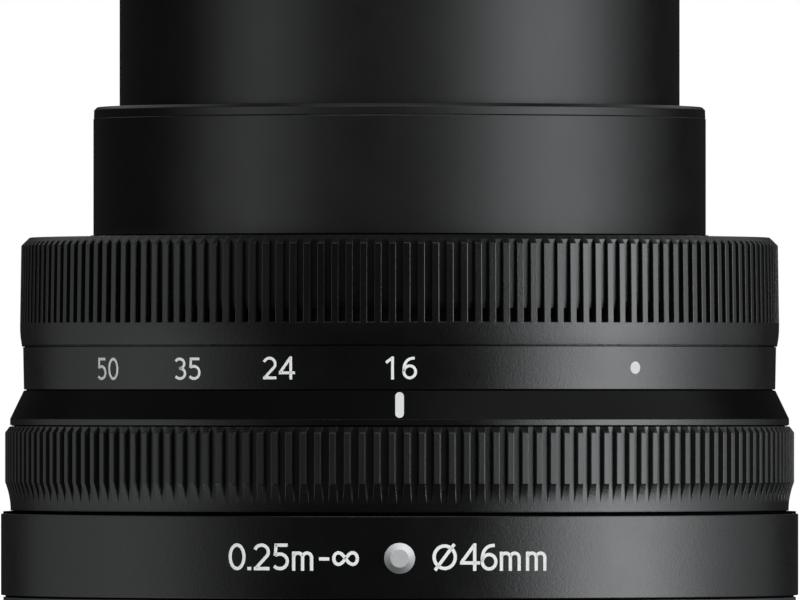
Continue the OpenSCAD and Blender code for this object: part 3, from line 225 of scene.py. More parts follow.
def lens_element(width, front, back, thick, vertex, land):
    """A lens turned from its axis: back sphere outwards, straight edge, front sphere inwards; minus means hollow."""
    s = np.linspace(0, 1, 40)
    r = width / 2 * np.sin(s * TURN / 4)
    low = vertex - thick + np.sign(back) * sag(back, np.minimum(r, width / 2 - land))
    high = vertex - np.sign(front) * sag(front, r)
    radius, height = np.concatenate([r, r[::-1]]), np.concatenate([low, high[::-1]])
    return shell(turned(radius[:, None], height[:, None], around(160)), rows_closed=False)


# Finishes

def new_group(name, inputs, outputs):
    """An empty shader node group with its named sockets."""
    group = bpy.data.node_groups.new(name, "ShaderNodeTree")
    for label, default in inputs:
        group.interface.new_socket(label, in_out="INPUT", socket_type="NodeSocketFloat").default_value = default
    for label in outputs:
        group.interface.new_socket(label, in_out="OUTPUT", socket_type="NodeSocketFloat")
    return group, group.nodes.new("NodeGroupInput"), group.nodes.new("NodeGroupOutput")


def math_node(tree, operation, a, b):
    """A Math node on two sockets or numbers; returns its result."""
    node = tree.nodes.new("ShaderNodeMath")
    node.operation = operation
    for socket, value in zip(node.inputs, (a, b)):
        if isinstance(value, (int, float)):
            socket.default_value = value
        else:
            tree.links.new(value, socket)
    return node.outputs[0]


def noise(tree, scale, detail=2.0, roughness=0.5):
    """Noise on Object coordinates, with its scale per metre from a number or a socket."""
    place_at = tree.nodes.new("ShaderNodeTexCoord").outputs["Object"]
    node = tree.nodes.new("ShaderNodeTexNoise")
    node.inputs["Detail"].default_value = detail
    node.inputs["Roughness"].default_value = roughness
    tree.links.new(place_at, node.inputs["Vector"])
    if isinstance(scale, (int, float)):
        node.inputs["Scale"].default_value = scale
    else:
        tree.links.new(scale, node.inputs["Scale"])
    return node.outputs["Fac"]


def grain_group():
    """Moulded grain: fine pits for the bump and a slow drift for tone."""
    group, given, out = new_group("moulded_grain", [("Scale", 9000.0), ("Coarse", 0.35)], ["Height", "Tone"])
    fine = noise(group, given.outputs["Scale"], 3.0, 0.6)
    coarse = noise(group, math_node(group, "MULTIPLY", given.outputs["Scale"], 0.4), 1.0)
    height = math_node(group, "ADD", fine, math_node(group, "MULTIPLY", coarse, given.outputs["Coarse"]))
    group.links.new(height, out.inputs["Height"])
    group.links.new(noise(group, 260.0, 3.0), out.inputs["Tone"])
    return group


def wear_group():
    """Rubbed edges: the mesh's own edge weight, broken up by noise."""
    group, given, out = new_group("rubbed_edges", [("Amount", 0.5)], ["Mask"])
    edge = group.nodes.new("ShaderNodeAttribute")
    edge.attribute_name = "edge"
    broken = math_node(group, "MULTIPLY", edge.outputs["Fac"], noise(group, 900.0, 4.0, 0.65))
    group.links.new(math_node(group, "MULTIPLY", broken, given.outputs["Amount"]), out.inputs["Mask"])
    return group


def band_group():
    """Faces of a knurled ring that lie between two radii and above a foot."""
    group, given, out = new_group("radius_band", [("Inner", 0.03), ("Outer", 0.04), ("Foot", 0.01)], ["Mask"])
    at = group.nodes.new("ShaderNodeSeparateXYZ")
    group.links.new(group.nodes.new("ShaderNodeTexCoord").outputs["Object"], at.inputs[0])
    across, along, up = at.outputs
    squares = [math_node(group, "MULTIPLY", side, side) for side in (across, along)]
    radius = math_node(group, "SQRT", math_node(group, "ADD", *squares), 0.0)
    beyond = math_node(group, "GREATER_THAN", radius, given.outputs["Inner"])
    within = math_node(group, "LESS_THAN", radius, given.outputs["Outer"])
    above = math_node(group, "GREATER_THAN", up, given.outputs["Foot"])
    between = math_node(group, "MULTIPLY", beyond, within)
    group.links.new(math_node(group, "MULTIPLY", between, above), out.inputs["Mask"])
    return group


GRAIN, WEAR, BAND = grain_group(), wear_group(), band_group()
# Places of a Mix node's sockets for colours
MIX_FACTOR, MIX_COLOURS, MIX_RESULT = 0, (6, 7), 2


def use_group(tree, group, **values):
    """A copy of a shared effect with its own values."""
    node = tree.nodes.new("ShaderNodeGroup")
    node.node_tree = group
    for label, value in values.items():
        node.inputs[label].default_value = value
    return node


def blend(tree, mask, first, second):
    """Colour that goes from first to second with the mask."""
    node = tree.nodes.new("ShaderNodeMix")
    node.data_type = "RGBA"
    node.clamp_factor = True
    tree.links.new(mask, node.inputs[MIX_FACTOR])
    for socket, value in zip(MIX_COLOURS, (first, second)):
        if isinstance(value, tuple):
            node.inputs[socket].default_value = (*value, 1)
        else:
            tree.links.new(value, node.inputs[socket])
    return node.outputs[MIX_RESULT]


def finish(name, colour, roughness, grain=(9000.0, 8e-6), wear=0.5, tone=0.25, metal=0.0, bands=(), **fixed):
    """A surface with grain in its bump, slow drift of tone and rubbed edges over one base colour.

    Grain is its scale per metre and its depth in metres. Each band gives two radii and a foot, in millimetres, and how
    much paler and rougher the faces between them are. Fixed values are set on the shader's own sockets.
    """
    made = bpy.data.materials.new(name)
    made.use_nodes = True
    tree = made.node_tree
    shader = tree.nodes["Principled BSDF"]
    pits = use_group(tree, GRAIN, Scale=grain[0])
    rubbed = use_group(tree, WEAR, Amount=wear)
    drift, polish = 0.12, 0.12
    deep = tuple(c * (1 - tone) for c in colour)
    light = tuple(c * (1 + tone) for c in colour)
    worn = tuple(min(1, 2.2 * c + 0.02) for c in colour)
    base = blend(tree, pits.outputs["Tone"], deep, light)
    base = blend(tree, rubbed.outputs["Mask"], base, worn)
    rough = math_node(tree, "MULTIPLY", math_node(tree, "SUBTRACT", pits.outputs["Tone"], 0.5), drift)
    rough = math_node(tree, "ADD", rough, roughness)
    rough = math_node(tree, "SUBTRACT", rough, math_node(tree, "MULTIPLY", rubbed.outputs["Mask"], polish))
    # On the knurls' slot floors a band's paler colour is painted light; on the control ring's ridges it is their own
    # paler finish
    for inner, outer, foot, paler, rougher in bands:
        floor_light_and_crest_finish = use_group(tree, BAND, Inner=inner * MM, Outer=outer * MM, Foot=foot * MM).outputs["Mask"]
        base = blend(tree, floor_light_and_crest_finish, base, tuple(c + paler for c in colour))
        rough = math_node(tree, "ADD", rough, math_node(tree, "MULTIPLY", floor_light_and_crest_finish, rougher))
    tree.links.new(base, shader.inputs["Base Color"])
    tree.links.new(rough, shader.inputs["Roughness"])
    bump = tree.nodes.new("ShaderNodeBump")
    bump.inputs["Strength"].default_value = 1.0
    bump.inputs["Distance"].default_value = grain[1]
    tree.links.new(pits.outputs["Height"], bump.inputs["Height"])
    tree.links.new(bump.outputs["Normal"], shader.inputs["Normal"])
    shader.inputs["Metallic"].default_value = metal
    for label, value in fixed.items():
        shader.inputs[label.replace("_", " ")].default_value = value
    return made


def coated_glass(name, film, tint):
    """Clear glass under a thin coating whose thickness sets the colour of its reflections."""
    made = bpy.data.materials.new(name)
    made.use_nodes = True
    tree = made.node_tree
    shader = tree.nodes["Principled BSDF"]
    smear = noise(tree, 140.0, 4.0, 0.6)
    tree.links.new(blend(tree, smear, tint, tuple(c * 0.97 for c in tint)), shader.inputs["Base Color"])
    tree.links.new(math_node(tree, "MULTIPLY", smear, 0.012), shader.inputs["Roughness"])
    fixed = {"Transmission Weight": 1.0, "IOR": 1.52, "Thin Film Thickness": film, "Thin Film IOR": 1.38}
    for label, value in fixed.items():
        shader.inputs[label].default_value = value
    return made


# Slot floors of both knurls are a little rougher and painted a little paler, as painted light in the slots' shade; the
# control ring's ridges are paler and rougher too
MOULDED = {"colour": (0.0035, 0.0036, 0.0038), "roughness": 0.28, "grain": (7000.0, 1.8e-5)}
barrel_black = finish("barrel_black", wear=0.0, **MOULDED)
ring_black = finish("ring_black", wear=0.7, **MOULDED, bands=[
    (GRIP_R - 0.53, GRIP_R - 0.45, SCALE_TOP + 2.1, 0.003, 0.03)])
control_black = finish("control_black", wear=0.7, **MOULDED, bands=[
    (CONTROL_R - 0.08, CONTROL_R + 1, CONTROL_Z + CONTROL_FOOT, 0.011, 0.115),
    (CONTROL_R - 0.5, CONTROL_R - 0.4, CONTROL_Z + 2, 0.004, 0.03)])
tube_black = finish("tube_black", (0.006, 0.006, 0.0063), 0.285, grain=(9000.0, 5e-6), wear=0.4)
cone_black = finish("cone_black", (0.004, 0.004, 0.0042), 0.32, grain=(7000.0, 8e-6))
# Near-black and without gloss: painted shade, for rings put into the gaps between parts
painted_shade_black = finish("painted_shade_black", (0.0015, 0.0015, 0.0015), 0.9, wear=0.0, Specular_IOR_Level=0.0)
print_white = finish("print_white", (0.86, 0.86, 0.85), 0.55, grain=(9000.0, 1e-6), tone=0.03, wear=0.0)
bead_white = finish("bead_white", (0.58, 0.585, 0.585), 0.4, grain=(6000.0, 3e-6), tone=0.05, wear=0.0)
inner_black = finish("inner_black", (0.012, 0.012, 0.0125), 0.6, grain=(7000.0, 1.2e-5), wear=0.3)
mount_black = finish("mount_black", (0.03, 0.03, 0.032), 0.38, grain=(8000.0, 6e-6), wear=0.6)
blade_black = finish("blade_black", (0.015, 0.015, 0.016), 0.45, grain=(15000.0, 2e-6), wear=0.0)
anodised = finish("anodised", (0.05, 0.05, 0.054), 0.36, grain=(14000.0, 3e-6), metal=0.6)
brass = finish("brass", (0.62, 0.47, 0.22), 0.28, grain=(11000.0, 3e-6), metal=1.0, tone=0.12)
steel = finish("steel", (0.5, 0.5, 0.51), 0.3, grain=(11000.0, 3e-6), metal=1.0, tone=0.15)
gold = finish("gold", (0.83, 0.58, 0.22), 0.22, grain=(15000.0, 2e-6), metal=1.0, tone=0.08)
magnet_black = finish("magnet_black", (0.04, 0.04, 0.042), 0.6)
felt_black = finish("felt_black", (0.006, 0.006, 0.006), 0.95, grain=(16000.0, 3e-5), tone=0.5, Sheen_Weight=0.3)
board_green = finish("board_green", (0.015, 0.09, 0.035), 0.35, grain=(5000.0, 4e-6), tone=0.3)
chip_black = finish("chip_black", (0.016, 0.016, 0.016), 0.55, tone=0.3)
front_glass = coated_glass("front_glass", 430.0, (0.97, 0.985, 1.0))
inner_glass = coated_glass("inner_glass", 360.0, (0.98, 1.0, 0.985))


# Rear barrel and its index bead

build("rear_barrel_shell", [ring([
    (REAR_BORE, SHELL_Z, 0.05), (REAR_R, SHELL_Z, 0.1), (REAR_R, SHELL_TOP, 0.12), (REAR_BORE, SHELL_TOP, 0.05),
    (REAR_BORE, WEB_TOP, 0.05), (WEB_BORE, WEB_TOP, 0.1), (WEB_BORE, WEB_Z, 0.1), (REAR_BORE, WEB_Z, 0.05)],
    columns=360)],
    "barrel", "barrel_plastic", barrel_black, "rear_barrel")


def lip(bore, foot, *steps):
    """A ring of painted shade that closes a gap where shade falls: from its bore out to each step's radius, and up to
    that step's top.
    """
    corners, top = [(bore, foot)], foot
    for radius, rise in steps:
        corners += [(radius, top), (radius, rise)]
        top = rise
    return ring([(r, z, 0.02) for r, z in (*corners, (bore, top))], columns=240)


# Dark rings in the gaps below, above and between the rear barrel, control ring, collar and scale: painted shade in
# those gaps
build("gap_lips", [
    lip(REAR_BORE, RIM_TOP, (34.6, 0.9)), lip(REAR_BORE, 7.4, (34.8, 8.05), (33.85, 8.22)),
    lip(32.5, 15.28, (33.84, 15.54), (34.05, 15.9)), lip(31.6, 18.3, (32.85, 18.69), (32.74, 18.95))],
    "barrel", "barrel_plastic", painted_shade_black)


def bead():
    """A truncated cone turned about an axis that runs out of the barrel towards the index: its foot is sunk."""
    profile, weight = rounded([
        (0.35, -0.15, 0.02), (1.33, -0.15, 0.02), (1.33, 0.02, 0.03), (0.79, 0.5, 0.06), (0.0, 0.5, 0.01),
        (0.0, 0.3, 0.01)], steps=6)
    angle = TURN * np.arange(72) / 72
    r, out = profile[:, :1], profile[:, 1:]
    across, up = r * np.cos(angle), r * np.sin(angle)
    depth = REAR_R + out + 0 * angle
    return shell(np.stack([across, -depth, BEAD_Z + up], axis=-1), weight[:, None])


build("index_bead", [bead()], "barrel", "white_mark", bead_white, "mount_index_bead")


# Control ring: slots that fade out where the waist draws in

def control_knurl():
    """Profile turned about the axis, less a ring of slots.

    Under the ridges the radius falls with the square of the height, like a parabola. A slot has a flat floor and
    leaning walls up to the ridge. On each row the slot is as wide as it is there deep, so its corners follow the
    parabola and close where that meets the floor.
    """
    deep, foot, mouth, bevel, dip = 0.44, 0.225, 0.36, 0.06, 0.48
    recess_foot, recess_top = 33.98, 33.9
    low, high = CONTROL_Z + 0.1, CONTROL_Z + CONTROL_FOOT
    floor, waist = CONTROL_R - deep, CONTROL_R - dip
    t = np.sort(np.append(np.linspace(0.08, 0.98, 16), math.sqrt((floor - waist) / dip)))
    curve = np.stack([waist + dip * t * t, low + (high - low) * t], axis=-1)
    corners = [
        (CONTROL_BORE, CONTROL_Z + 0.3, 0.05), (recess_foot, CONTROL_Z + 0.3, 0.05),
        (recess_foot, CONTROL_Z + 0.07, 0.04), (waist, CONTROL_Z + 0.07, 0.03), (CONTROL_R, high, 0.03),
        (CONTROL_R, CONTROL_TOP - 0.54, 0.05), (CONTROL_R - 0.4, CONTROL_TOP, 0.04), (recess_top, CONTROL_TOP, 0.03),
        (recess_top, CONTROL_TOP - 0.35, 0.05), (CONTROL_BORE, CONTROL_TOP - 0.35, 0.05)]
    profile, weight = rounded(corners, steps=3)
    at = 4 * (len(profile) // len(corners))
    profile, weight = np.insert(profile, at, curve, axis=0), np.insert(weight, at, 0 * t)
    profile, weight = np.delete(profile, at + len(t), axis=0), np.delete(weight, at + len(t))
    r, z = profile[:, :1], profile[:, 1:]
    depth = np.clip(r - floor, 0, None) * (z > low)
    top = foot + (mouth - foot) * depth / deep
    chip = np.minimum(bevel, depth / 2)
    near = np.concatenate([top + chip, top + 0.3 * chip, top, foot + 0 * top], axis=1)
    sink = np.concatenate([0 * depth, 0.3 * chip, chip, depth], axis=1)
    offset, drop = np.hstack([-near, near[:, ::-1]]), np.hstack([sink, sink[:, ::-1]])
    angle = around(KNURL_SLOTS)[None, :, None] + offset[:, None, :] / CONTROL_R
    radius = r[:, :, None] - drop[:, None, :]
    rubbed = np.maximum(weight[:, None], np.where(chip > 0, 1.0, 0.0) * np.array([0.3, 1, 1, 0, 0, 1, 1, 0.3]))
    rows = len(r)
    grid = turned(radius + 0 * angle, z[:, :, None] + 0 * angle, angle).reshape(rows, -1, 3)
    return shell(grid, np.tile(rubbed[:, None, :], (1, KNURL_SLOTS, 1)).reshape(rows, -1))


build("control_ring_knurl", [control_knurl()], "control_ring", "ring_plastic", control_black,
      "control_ring", crease=21)


# Index collar with its line

build("index_collar_rim", [ring([
    (RING_BORE, SKIRT_Z, 0.05), (SKIRT_R, SKIRT_Z, 0.05), (SKIRT_R, COLLAR_Z, 0.04), (COLLAR_R, COLLAR_Z, 0.08),
    (COLLAR_R, CONE_Z, 0.03), (RING_BORE, CONE_Z, 0.03)], columns=360)],
    "barrel", "barrel_plastic", barrel_black, "index_collar")
build("index_collar_cone", [ring([
    (RING_BORE, CONE_Z, 0.03), (COLLAR_R, CONE_Z, 0.02), (COLLAR_R - CONE_DROP, COLLAR_TOP, 0.05),
    (RING_BORE, COLLAR_TOP, 0.05)], columns=360)],
    "barrel", "barrel_plastic", cone_black)


def inlay(outline, radius_at, angle, centre, crown=0.02, sunk=0.04):
    """A filled mark on a turned face: its outline shrinks in rings to the middle, a little crowned, over a sunk foot.

    The outline's first coordinate runs round the part and its second up it; radius_at gives the face's radius.
    """
    share = np.array([1, 1, 0.985, 0.95, 0.85, 0.6, 0.3, 0.0])[:, None]
    lift = np.array([-sunk, 0.3 * crown, 0.75 * crown, crown, crown, crown, crown, crown])[:, None]
    across, up = share * outline[None, :, 0], centre + share * outline[None, :, 1]
    face = radius_at(up)
    return shell(turned(face + lift, up, angle + across / face), rows_closed=False)


def stadium(width, height, count=64):
    """Outline of a pill: a circle of points pulled apart along its height."""
    t = TURN * np.arange(count) / count
    half = width / 2
    return np.stack([half * np.cos(t), half * np.sin(t) + np.sign(np.sin(t)) * (height / 2 - half)], axis=-1)


def cone_radius(z):
    """Radius of the index collar's cone at a height."""
    return COLLAR_R - CONE_DROP * (z - CONE_Z) / (COLLAR_TOP - CONE_Z)


def scale_radius(z):
    """Radius of the scale ring's slightly tapered face at a height."""
    return SCALE_R - SCALE_TAPER * (SCALE_TOP - z) / (SCALE_TOP - SCALE_Z)


build("index_line", [inlay(stadium(0.75, 2.21), cone_radius, INDEX, LINE_Z)], "barrel", "white_mark", print_white)


# Zoom ring: scale band, prints and grip

build("zoom_scale_band", [ring([
    (RING_BORE, SCALE_Z + 0.37, 0.05), (SCALE_RECESS_R, SCALE_Z + 0.37, 0.05), (SCALE_RECESS_R, SCALE_Z, 0.03),
    (SCALE_R - SCALE_TAPER, SCALE_Z, 0.07), (SCALE_R, GROOVE_Z, 0.04), (GROOVE_R, GROOVE_Z, 0.03),
    (GROOVE_R, SCALE_TOP, 0.02), (RING_BORE, SCALE_TOP, 0.05)], columns=360)],
    "zoom_ring", "ring_plastic", ring_black, "zoom_scale_ring")


def arc(x, y, wide, tall, start, end, count=28):
    """Points on an ellipse about (x, y), from one angle to another in degrees."""
    t = np.radians(np.linspace(start, end, count))
    return np.stack([x + wide * np.cos(t), y + tall * np.sin(t)], axis=-1)


def line(x0, y0, x1, y1):
    """Points evenly along a straight stroke."""
    return np.linspace((x0, y0), (x1, y1), 9)


def bend(x0, y0, x1, y1, x2, y2):
    """Points on a parabola from the first to the last point, drawn towards the middle one."""
    t = np.linspace(0, 1, 20)[:, None]
    return (1 - t) ** 2 * np.array([x0, y0]) + 2 * t * (1 - t) * np.array([x1, y1]) + t * t * np.array([x2, y2])


def endless():
    """A lying eight: the lemniscate's two lobes in one run."""
    t = np.linspace(0, TURN, 64)
    share = 1 + np.sin(t) ** 2
    return np.stack([1.02 + 0.85 * np.cos(t) / share, 0.78 + 1.25 * np.sin(t) * np.cos(t) / share], axis=-1)


def arch(x):
    """One arch of a small letter m that starts at its stem x."""
    return np.concatenate([arc(x + 0.33, 0.86, 0.33, 0.34, 165, 0), line(x + 0.66, 0.8, x + 0.66, -0.15)])


# Each sign's step and the middle lines of its strokes, drawn for one height and width of stroke
SIGN_TALL, STROKE, WIDENED = 2.1, 0.26, 1.07
SIGNS = {
    "0": (1.5, [arc(0.77, 0.9, 0.54, 0.9, 90, 450, 48)]),
    "1": (1.45, [line(0.7, -0.15, 0.7, 1.95), line(0.14, 1.4, 0.68, 1.8)]),
    "2": (1.45, [np.concatenate([arc(0.66, 1.27, 0.52, 0.53, 160, -25), line(1.1, 1.0, 0.28, 0.08)]),
                 line(0.08, 0, 1.28, 0)]),
    "3": (1.45, [arc(0.58, 1.365, 0.48, 0.435, 150, -95), arc(0.6, 0.47, 0.54, 0.47, 95, -145)]),
    "4": (1.45, [line(1.12, -0.15, 1.12, 1.95), line(1.08, 1.82, 0.18, 0.52), line(0.06, 0.46, 1.5, 0.46)]),
    "5": (1.45, [line(0.24, 1.8, 1.18, 1.8), line(0.32, 1.92, 0.26, 0.98), arc(0.6, 0.56, 0.56, 0.56, 128, -140)]),
    "6": (1.45, [arc(0.72, 0.55, 0.5, 0.55, 0, 360, 48), bend(0.22, 0.58, 0.2, 1.82, 1.14, 1.8)]),
    ".": (0.5, [line(0.08, 0, 0.38, 0)]),
    "-": (1.0, [line(0.1, 0.75, 0.85, 0.75)]),
    "m": (1.95, [line(0.18, -0.15, 0.18, 1.32), arch(0.18), arch(0.84)]),
    "\u221e": (2.05, [endless()]),
    "\u00d8": (1.95, [arc(0.9, 0.9, 0.76, 0.86, 0, 360, 48), line(0.2, -0.1, 1.6, 1.9)]),
}


def ribbon(path, width, radius_at, angle, centre, lift=0.02, sunk=0.05):
    """A flat painted stroke: a low section with soft edges carried along a path that is rolled onto a turned face.

    The path's first coordinate runs round the part and its second up it. The section shrinks to a point at both ends.
    """
    run = np.gradient(path, axis=0)
    run /= np.linalg.norm(run, axis=1, keepdims=True)
    side = np.stack([-run[:, 1], run[:, 0]], axis=-1)
    share = np.array([-0.5, -0.5, -0.43, 0.43, 0.5, 0.5])[:, None, None] * width
    height = np.array([-sunk, 0.5 * lift, lift, lift, 0.5 * lift, -sunk])[:, None]
    flat = path + share * side
    ends = np.broadcast_to(path[[0, -1]], (6, 2, 2))
    flat = np.concatenate([ends[:, :1], flat, ends[:, 1:]], axis=1)
    up = centre + flat[..., 1]
    face = radius_at(up)
    return shell(turned(face + height, up, angle + flat[..., 0] / face), columns_closed=False)


def lettering(words, tall):
    """Middle lines of a row of signs, scaled to a height, a little wider than drawn, and centred on the origin."""
    scale = tall / SIGN_TALL * np.array([WIDENED, 1])
    steps = np.cumsum([0] + [SIGNS[sign][0] for sign in words])
    paths = [(path + (step, 0)) * scale for sign, step in zip(words, steps) for path in SIGNS[sign][1]]
    points = np.concatenate(paths)
    middle = (points.max(axis=0) + points.min(axis=0)) / 2
    return [path - middle for path in paths]


def printed(name, words, tall, degrees, centre, radius_at, body):
    """A row of painted signs at an angle from the index line."""
    angle = INDEX + math.radians(degrees)
    strokes = [ribbon(path, STROKE * tall / SIGN_TALL, radius_at, angle, centre) for path in lettering(words, tall)]
    return build(name, strokes, body, "white_mark", print_white)


ZOOM_NUMBERS = (("50", -50.05), ("35", -33.7), ("24", -18.35), ("16", 0.18))
for label, degrees in ZOOM_NUMBERS:
    printed("zoom_number_" + label, label, SCALE_SIGNS, degrees, SCALE_PRINT_Z, scale_radius, "zoom_ring")


def rear_radius(z):
    """Radius of the rear barrel's straight wall."""
    return REAR_R + 0 * z


printed("near_limit_print", "0.25m-\u221e", REAR_SIGNS, -15.3, REAR_PRINT_Z, rear_radius, "barrel")
printed("filter_size_print", "\u00d846mm", REAR_SIGNS, 12.9, REAR_PRINT_Z, rear_radius, "barrel")
build("zoom_fold_dot", [inlay(stadium(1.06, 1.08), scale_radius, INDEX + math.radians(DOT_DEGREES), DOT_Z)],
      "zoom_ring", "white_mark", print_white)


def grip_knurl():
    """Profile turned about the axis, less square slots that start above a plain band and run out through the top.

    The depth at a point is the smallest of the slot's depth across the ring, its depth along the ring and the room
    over its floor, so the small bevels meet in mitred corners. The floor lies deeper in a pocket at the lower end.
    """
    half, bevel, draft, past = 0.31, 0.055, 0.012, 2
    profile, weight = rounded([
        (RING_BORE, SCALE_TOP, 0.02), (GROOVE_R, SCALE_TOP, 0.02), (GROOVE_R, GROOVE_TOP, 0.03),
        (GRIP_R - 0.17, GROOVE_TOP, 0.04), (GRIP_R, SCALE_TOP + 1.0, 0.75), (GRIP_R - 0.12, GRIP_TOP - 0.65, 0.05),
        (GRIP_R - 0.85, GRIP_FACE, 0.04), (LIP_BORE, GRIP_FACE, 0.1), (LIP_BORE, LIP_Z, 0.1), (RING_BORE, LIP_Z, 0.1)],
        steps=3)
    ends = SLOT_Z + np.array([-bevel, -0.3 * bevel, 0, 0.004])
    floor_z, floor_depth = SLOT_Z + np.array([0.35, 0.8, 1.2, 2.0]), [0.95, 0.8, 0.58, 0.5]
    profile, weight = with_rows(profile, weight, [*ends, *floor_z, GRIP_TOP - 0.3])
    r, z = profile[:, :1], profile[:, 1:]
    room = np.clip(r - GRIP_R + np.interp(z, floor_z, floor_depth), 0, None)
    along = np.interp(z, ends, [0, 0.3 * bevel, bevel, past])
    across = np.array([0, 0.3 * bevel, bevel, past, past, bevel, 0.3 * bevel, 0])
    drop = np.minimum(np.minimum(across, along), room)
    near = half + np.array([bevel, 0.3 * bevel, 0, -draft])
    angle = (around(KNURL_SLOTS)[:, None] + np.append(-near, near[::-1]) / GRIP_R).ravel()
    rubbed = np.maximum(weight[:, None], np.where((drop > 0) & (across < past), 1.0, 0.0))
    radius = r - np.tile(drop, (1, KNURL_SLOTS))
    return shell(turned(radius, z, angle), np.tile(rubbed, (1, KNURL_SLOTS)))


build("zoom_grip_knurl", [grip_knurl()], "zoom_ring", "ring_plastic", ring_black, "zoom_grip", crease=21)
# Dark rings in the groove between scale and grip and round the tube just above the grip: painted shade in the groove
# and a painted shadow on the tube
build("zoom_ring_lips", [
    lip(32.4, SCALE_TOP - 0.13, (32.9, SCALE_TOP + 0.12)), lip(26.96, 31.6, (27.14, GRIP_TOP + 0.25))],
    "zoom_ring", "ring_plastic", painted_shade_black)


# Tubes

build("outer_tube_wall", [
    ring([(OUTER_BORE, OUTER_Z, 0.06), (OUTER_R, OUTER_Z, 0.1), (OUTER_R, TRIM_Z, 0.09), (OUTER_BORE, TRIM_Z, 0.05)]),
    *[arc_block(KEY_BORE, KEY_R, OUTER_Z + 0.02, OUTER_Z + KEY_TALL, degrees, KEY_SPAN, 0.1)
      for degrees in (15, 135, 255)]],
    "outer_tube", "tube_plastic", tube_black, "outer_tube")
build("outer_tube_trim", [ring([
    (TRIM_BORE, TRIM_Z, 0.06), (OUTER_R - 0.04, TRIM_Z, 0.07), (OUTER_R - 0.06, OUTER_TOP - 0.26, 0.06),
    (OUTER_R - 0.32, OUTER_TOP, 0.06), (TRIM_BORE, OUTER_TOP, 0.06)])],
    "outer_tube", "tube_plastic", tube_black, "outer_trim_ring")
build("inner_tube_wall", [ring([
    (INNER_THIN, INNER_Z, 0.06), (INNER_R, INNER_Z, 0.08), (INNER_R, FILTER_Z, 0.05), (INNER_BORE, FILTER_Z, 0.05),
    (INNER_BORE, SEAT_TOP, 0.05), (SEAT_BORE, SEAT_TOP, 0.08), (SEAT_BORE, SEAT_Z, 0.08),
    (INNER_THIN, SEAT_Z, 0.05)])],
    "inner_tube", "tube_plastic", tube_black, "inner_tube")


# Front rim, trim dish and glass

def filter_rim():
    """Profile turned about the axis; on the threaded wall the radius swings with height less one pitch per turn."""
    thread, pitch, deep, step, run_out = 22.6, 0.75, 0.36, 54.6, 0.12
    corners = [
        (thread - 0.3, FILTER_Z, 0.04), (INNER_R, FILTER_Z, 0.05), (INNER_R, FRONT_Z, 0.2),
        (thread + 0.3, FRONT_Z, 0.14), (thread, FRONT_Z - 0.3, 0.06), (thread, step, 0.05), (thread - 0.3, step, 0.05)]
    profile, weight = rounded(corners)
    wall = np.linspace(FRONT_Z - 0.4, step + run_out, 46)
    at = 5 * (len(profile) // len(corners))
    profile = np.insert(profile, at, np.stack([thread + 0 * wall, wall], axis=-1), axis=0)
    weight = np.insert(weight, at, 0 * wall)
    angle = around(240)
    r, z = profile[:, :1], profile[:, 1:]
    turn = (z / pitch - (angle - INDEX) / TURN) % 1
    groove = deep * np.clip(1.5 - np.abs(2 * turn - 1) * 2.4, 0, 1)
    fade = np.zeros(len(r))
    fade[at:at + len(wall)] = np.clip(np.minimum(wall - wall[-1], wall[0] - wall) / run_out, 0, 1)
    return shell(turned(r + fade[:, None] * groove, z, angle), weight[:, None])


build("filter_rim", [filter_rim()], "inner_tube", "tube_plastic", tube_black, "filter_ring")


def trim_dish():
    """A dished ring round the front glass whose face falls inwards in fine saw-toothed steps."""
    count, rise = 9, 0.1
    face_r, rim_r, edge_r, mouth_r = (15.3, 21.8), 22.0, 23.45, 14.8
    face_z, under, foot = (53.55, 54.0), 53.0, 52.65
    r = np.linspace(21.6, 15.5, count + 1)
    height = np.interp(r, face_r, face_z)
    treads = np.stack([height[:-1], height[1:]], axis=-1).ravel() - np.tile([0, rise], count)
    steps = np.stack([np.repeat(r, 2)[1:-1], treads], axis=-1)
    corners = [(face_r[0], under, 0.03), (edge_r, under, 0.04), (edge_r, FILTER_Z, 0.04), (rim_r, FILTER_Z, 0.06),
               (21.75, face_z[1], 0.03)]
    corners += [(radius, z, 0.03) for radius, z in steps.tolist()]
    corners += [(15.2, 53.45, 0.03), (mouth_r, 53.3, 0.05), (mouth_r, foot, 0.05), (face_r[0], foot, 0.04)]
    return ring(corners, columns=240, steps=3)


build("front_trim_dish", [trim_dish()], "inner_tube", "tube_plastic", inner_black, "front_trim_ring")

# Node, body, glass, and the width, front curve, back curve, thickness, height of the front vertex and land
ELEMENTS = (
    ("front_element", "inner_tube", front_glass, (31, 60, -22, 1.3, 54.4, 2.5)),
    ("second_element", "inner_tube", inner_glass, (24, 60, -20, 1, 50.3, 2.5)),
    ("third_element", "inner_tube", inner_glass, (21, 24, -80, 2.4, 48.7, 0)),
    ("fourth_element", "variator", inner_glass, (15, 24, 60, 2.3, 22.9, 0)),
    ("fifth_element", "variator", inner_glass, (12.4, 26, 24, 2, 20.2, 0)),
    ("sixth_element", "variator", inner_glass, (12.4, -24, -80, 0.8, 18.18, 0.4)),
    ("focus_element", "focus_group", inner_glass, (18, -90, -45, 0.9, 3.4, 0.5)),
    ("rear_element", "barrel", inner_glass, (24, 70, 90, 3.2, 0.7, 0)),
)
for node, body, glass, shape in ELEMENTS:
    build(node + "_glass", [lens_element(*shape)], body, "coated_glass", glass, node, crease=45)


# CAD pieces that stay

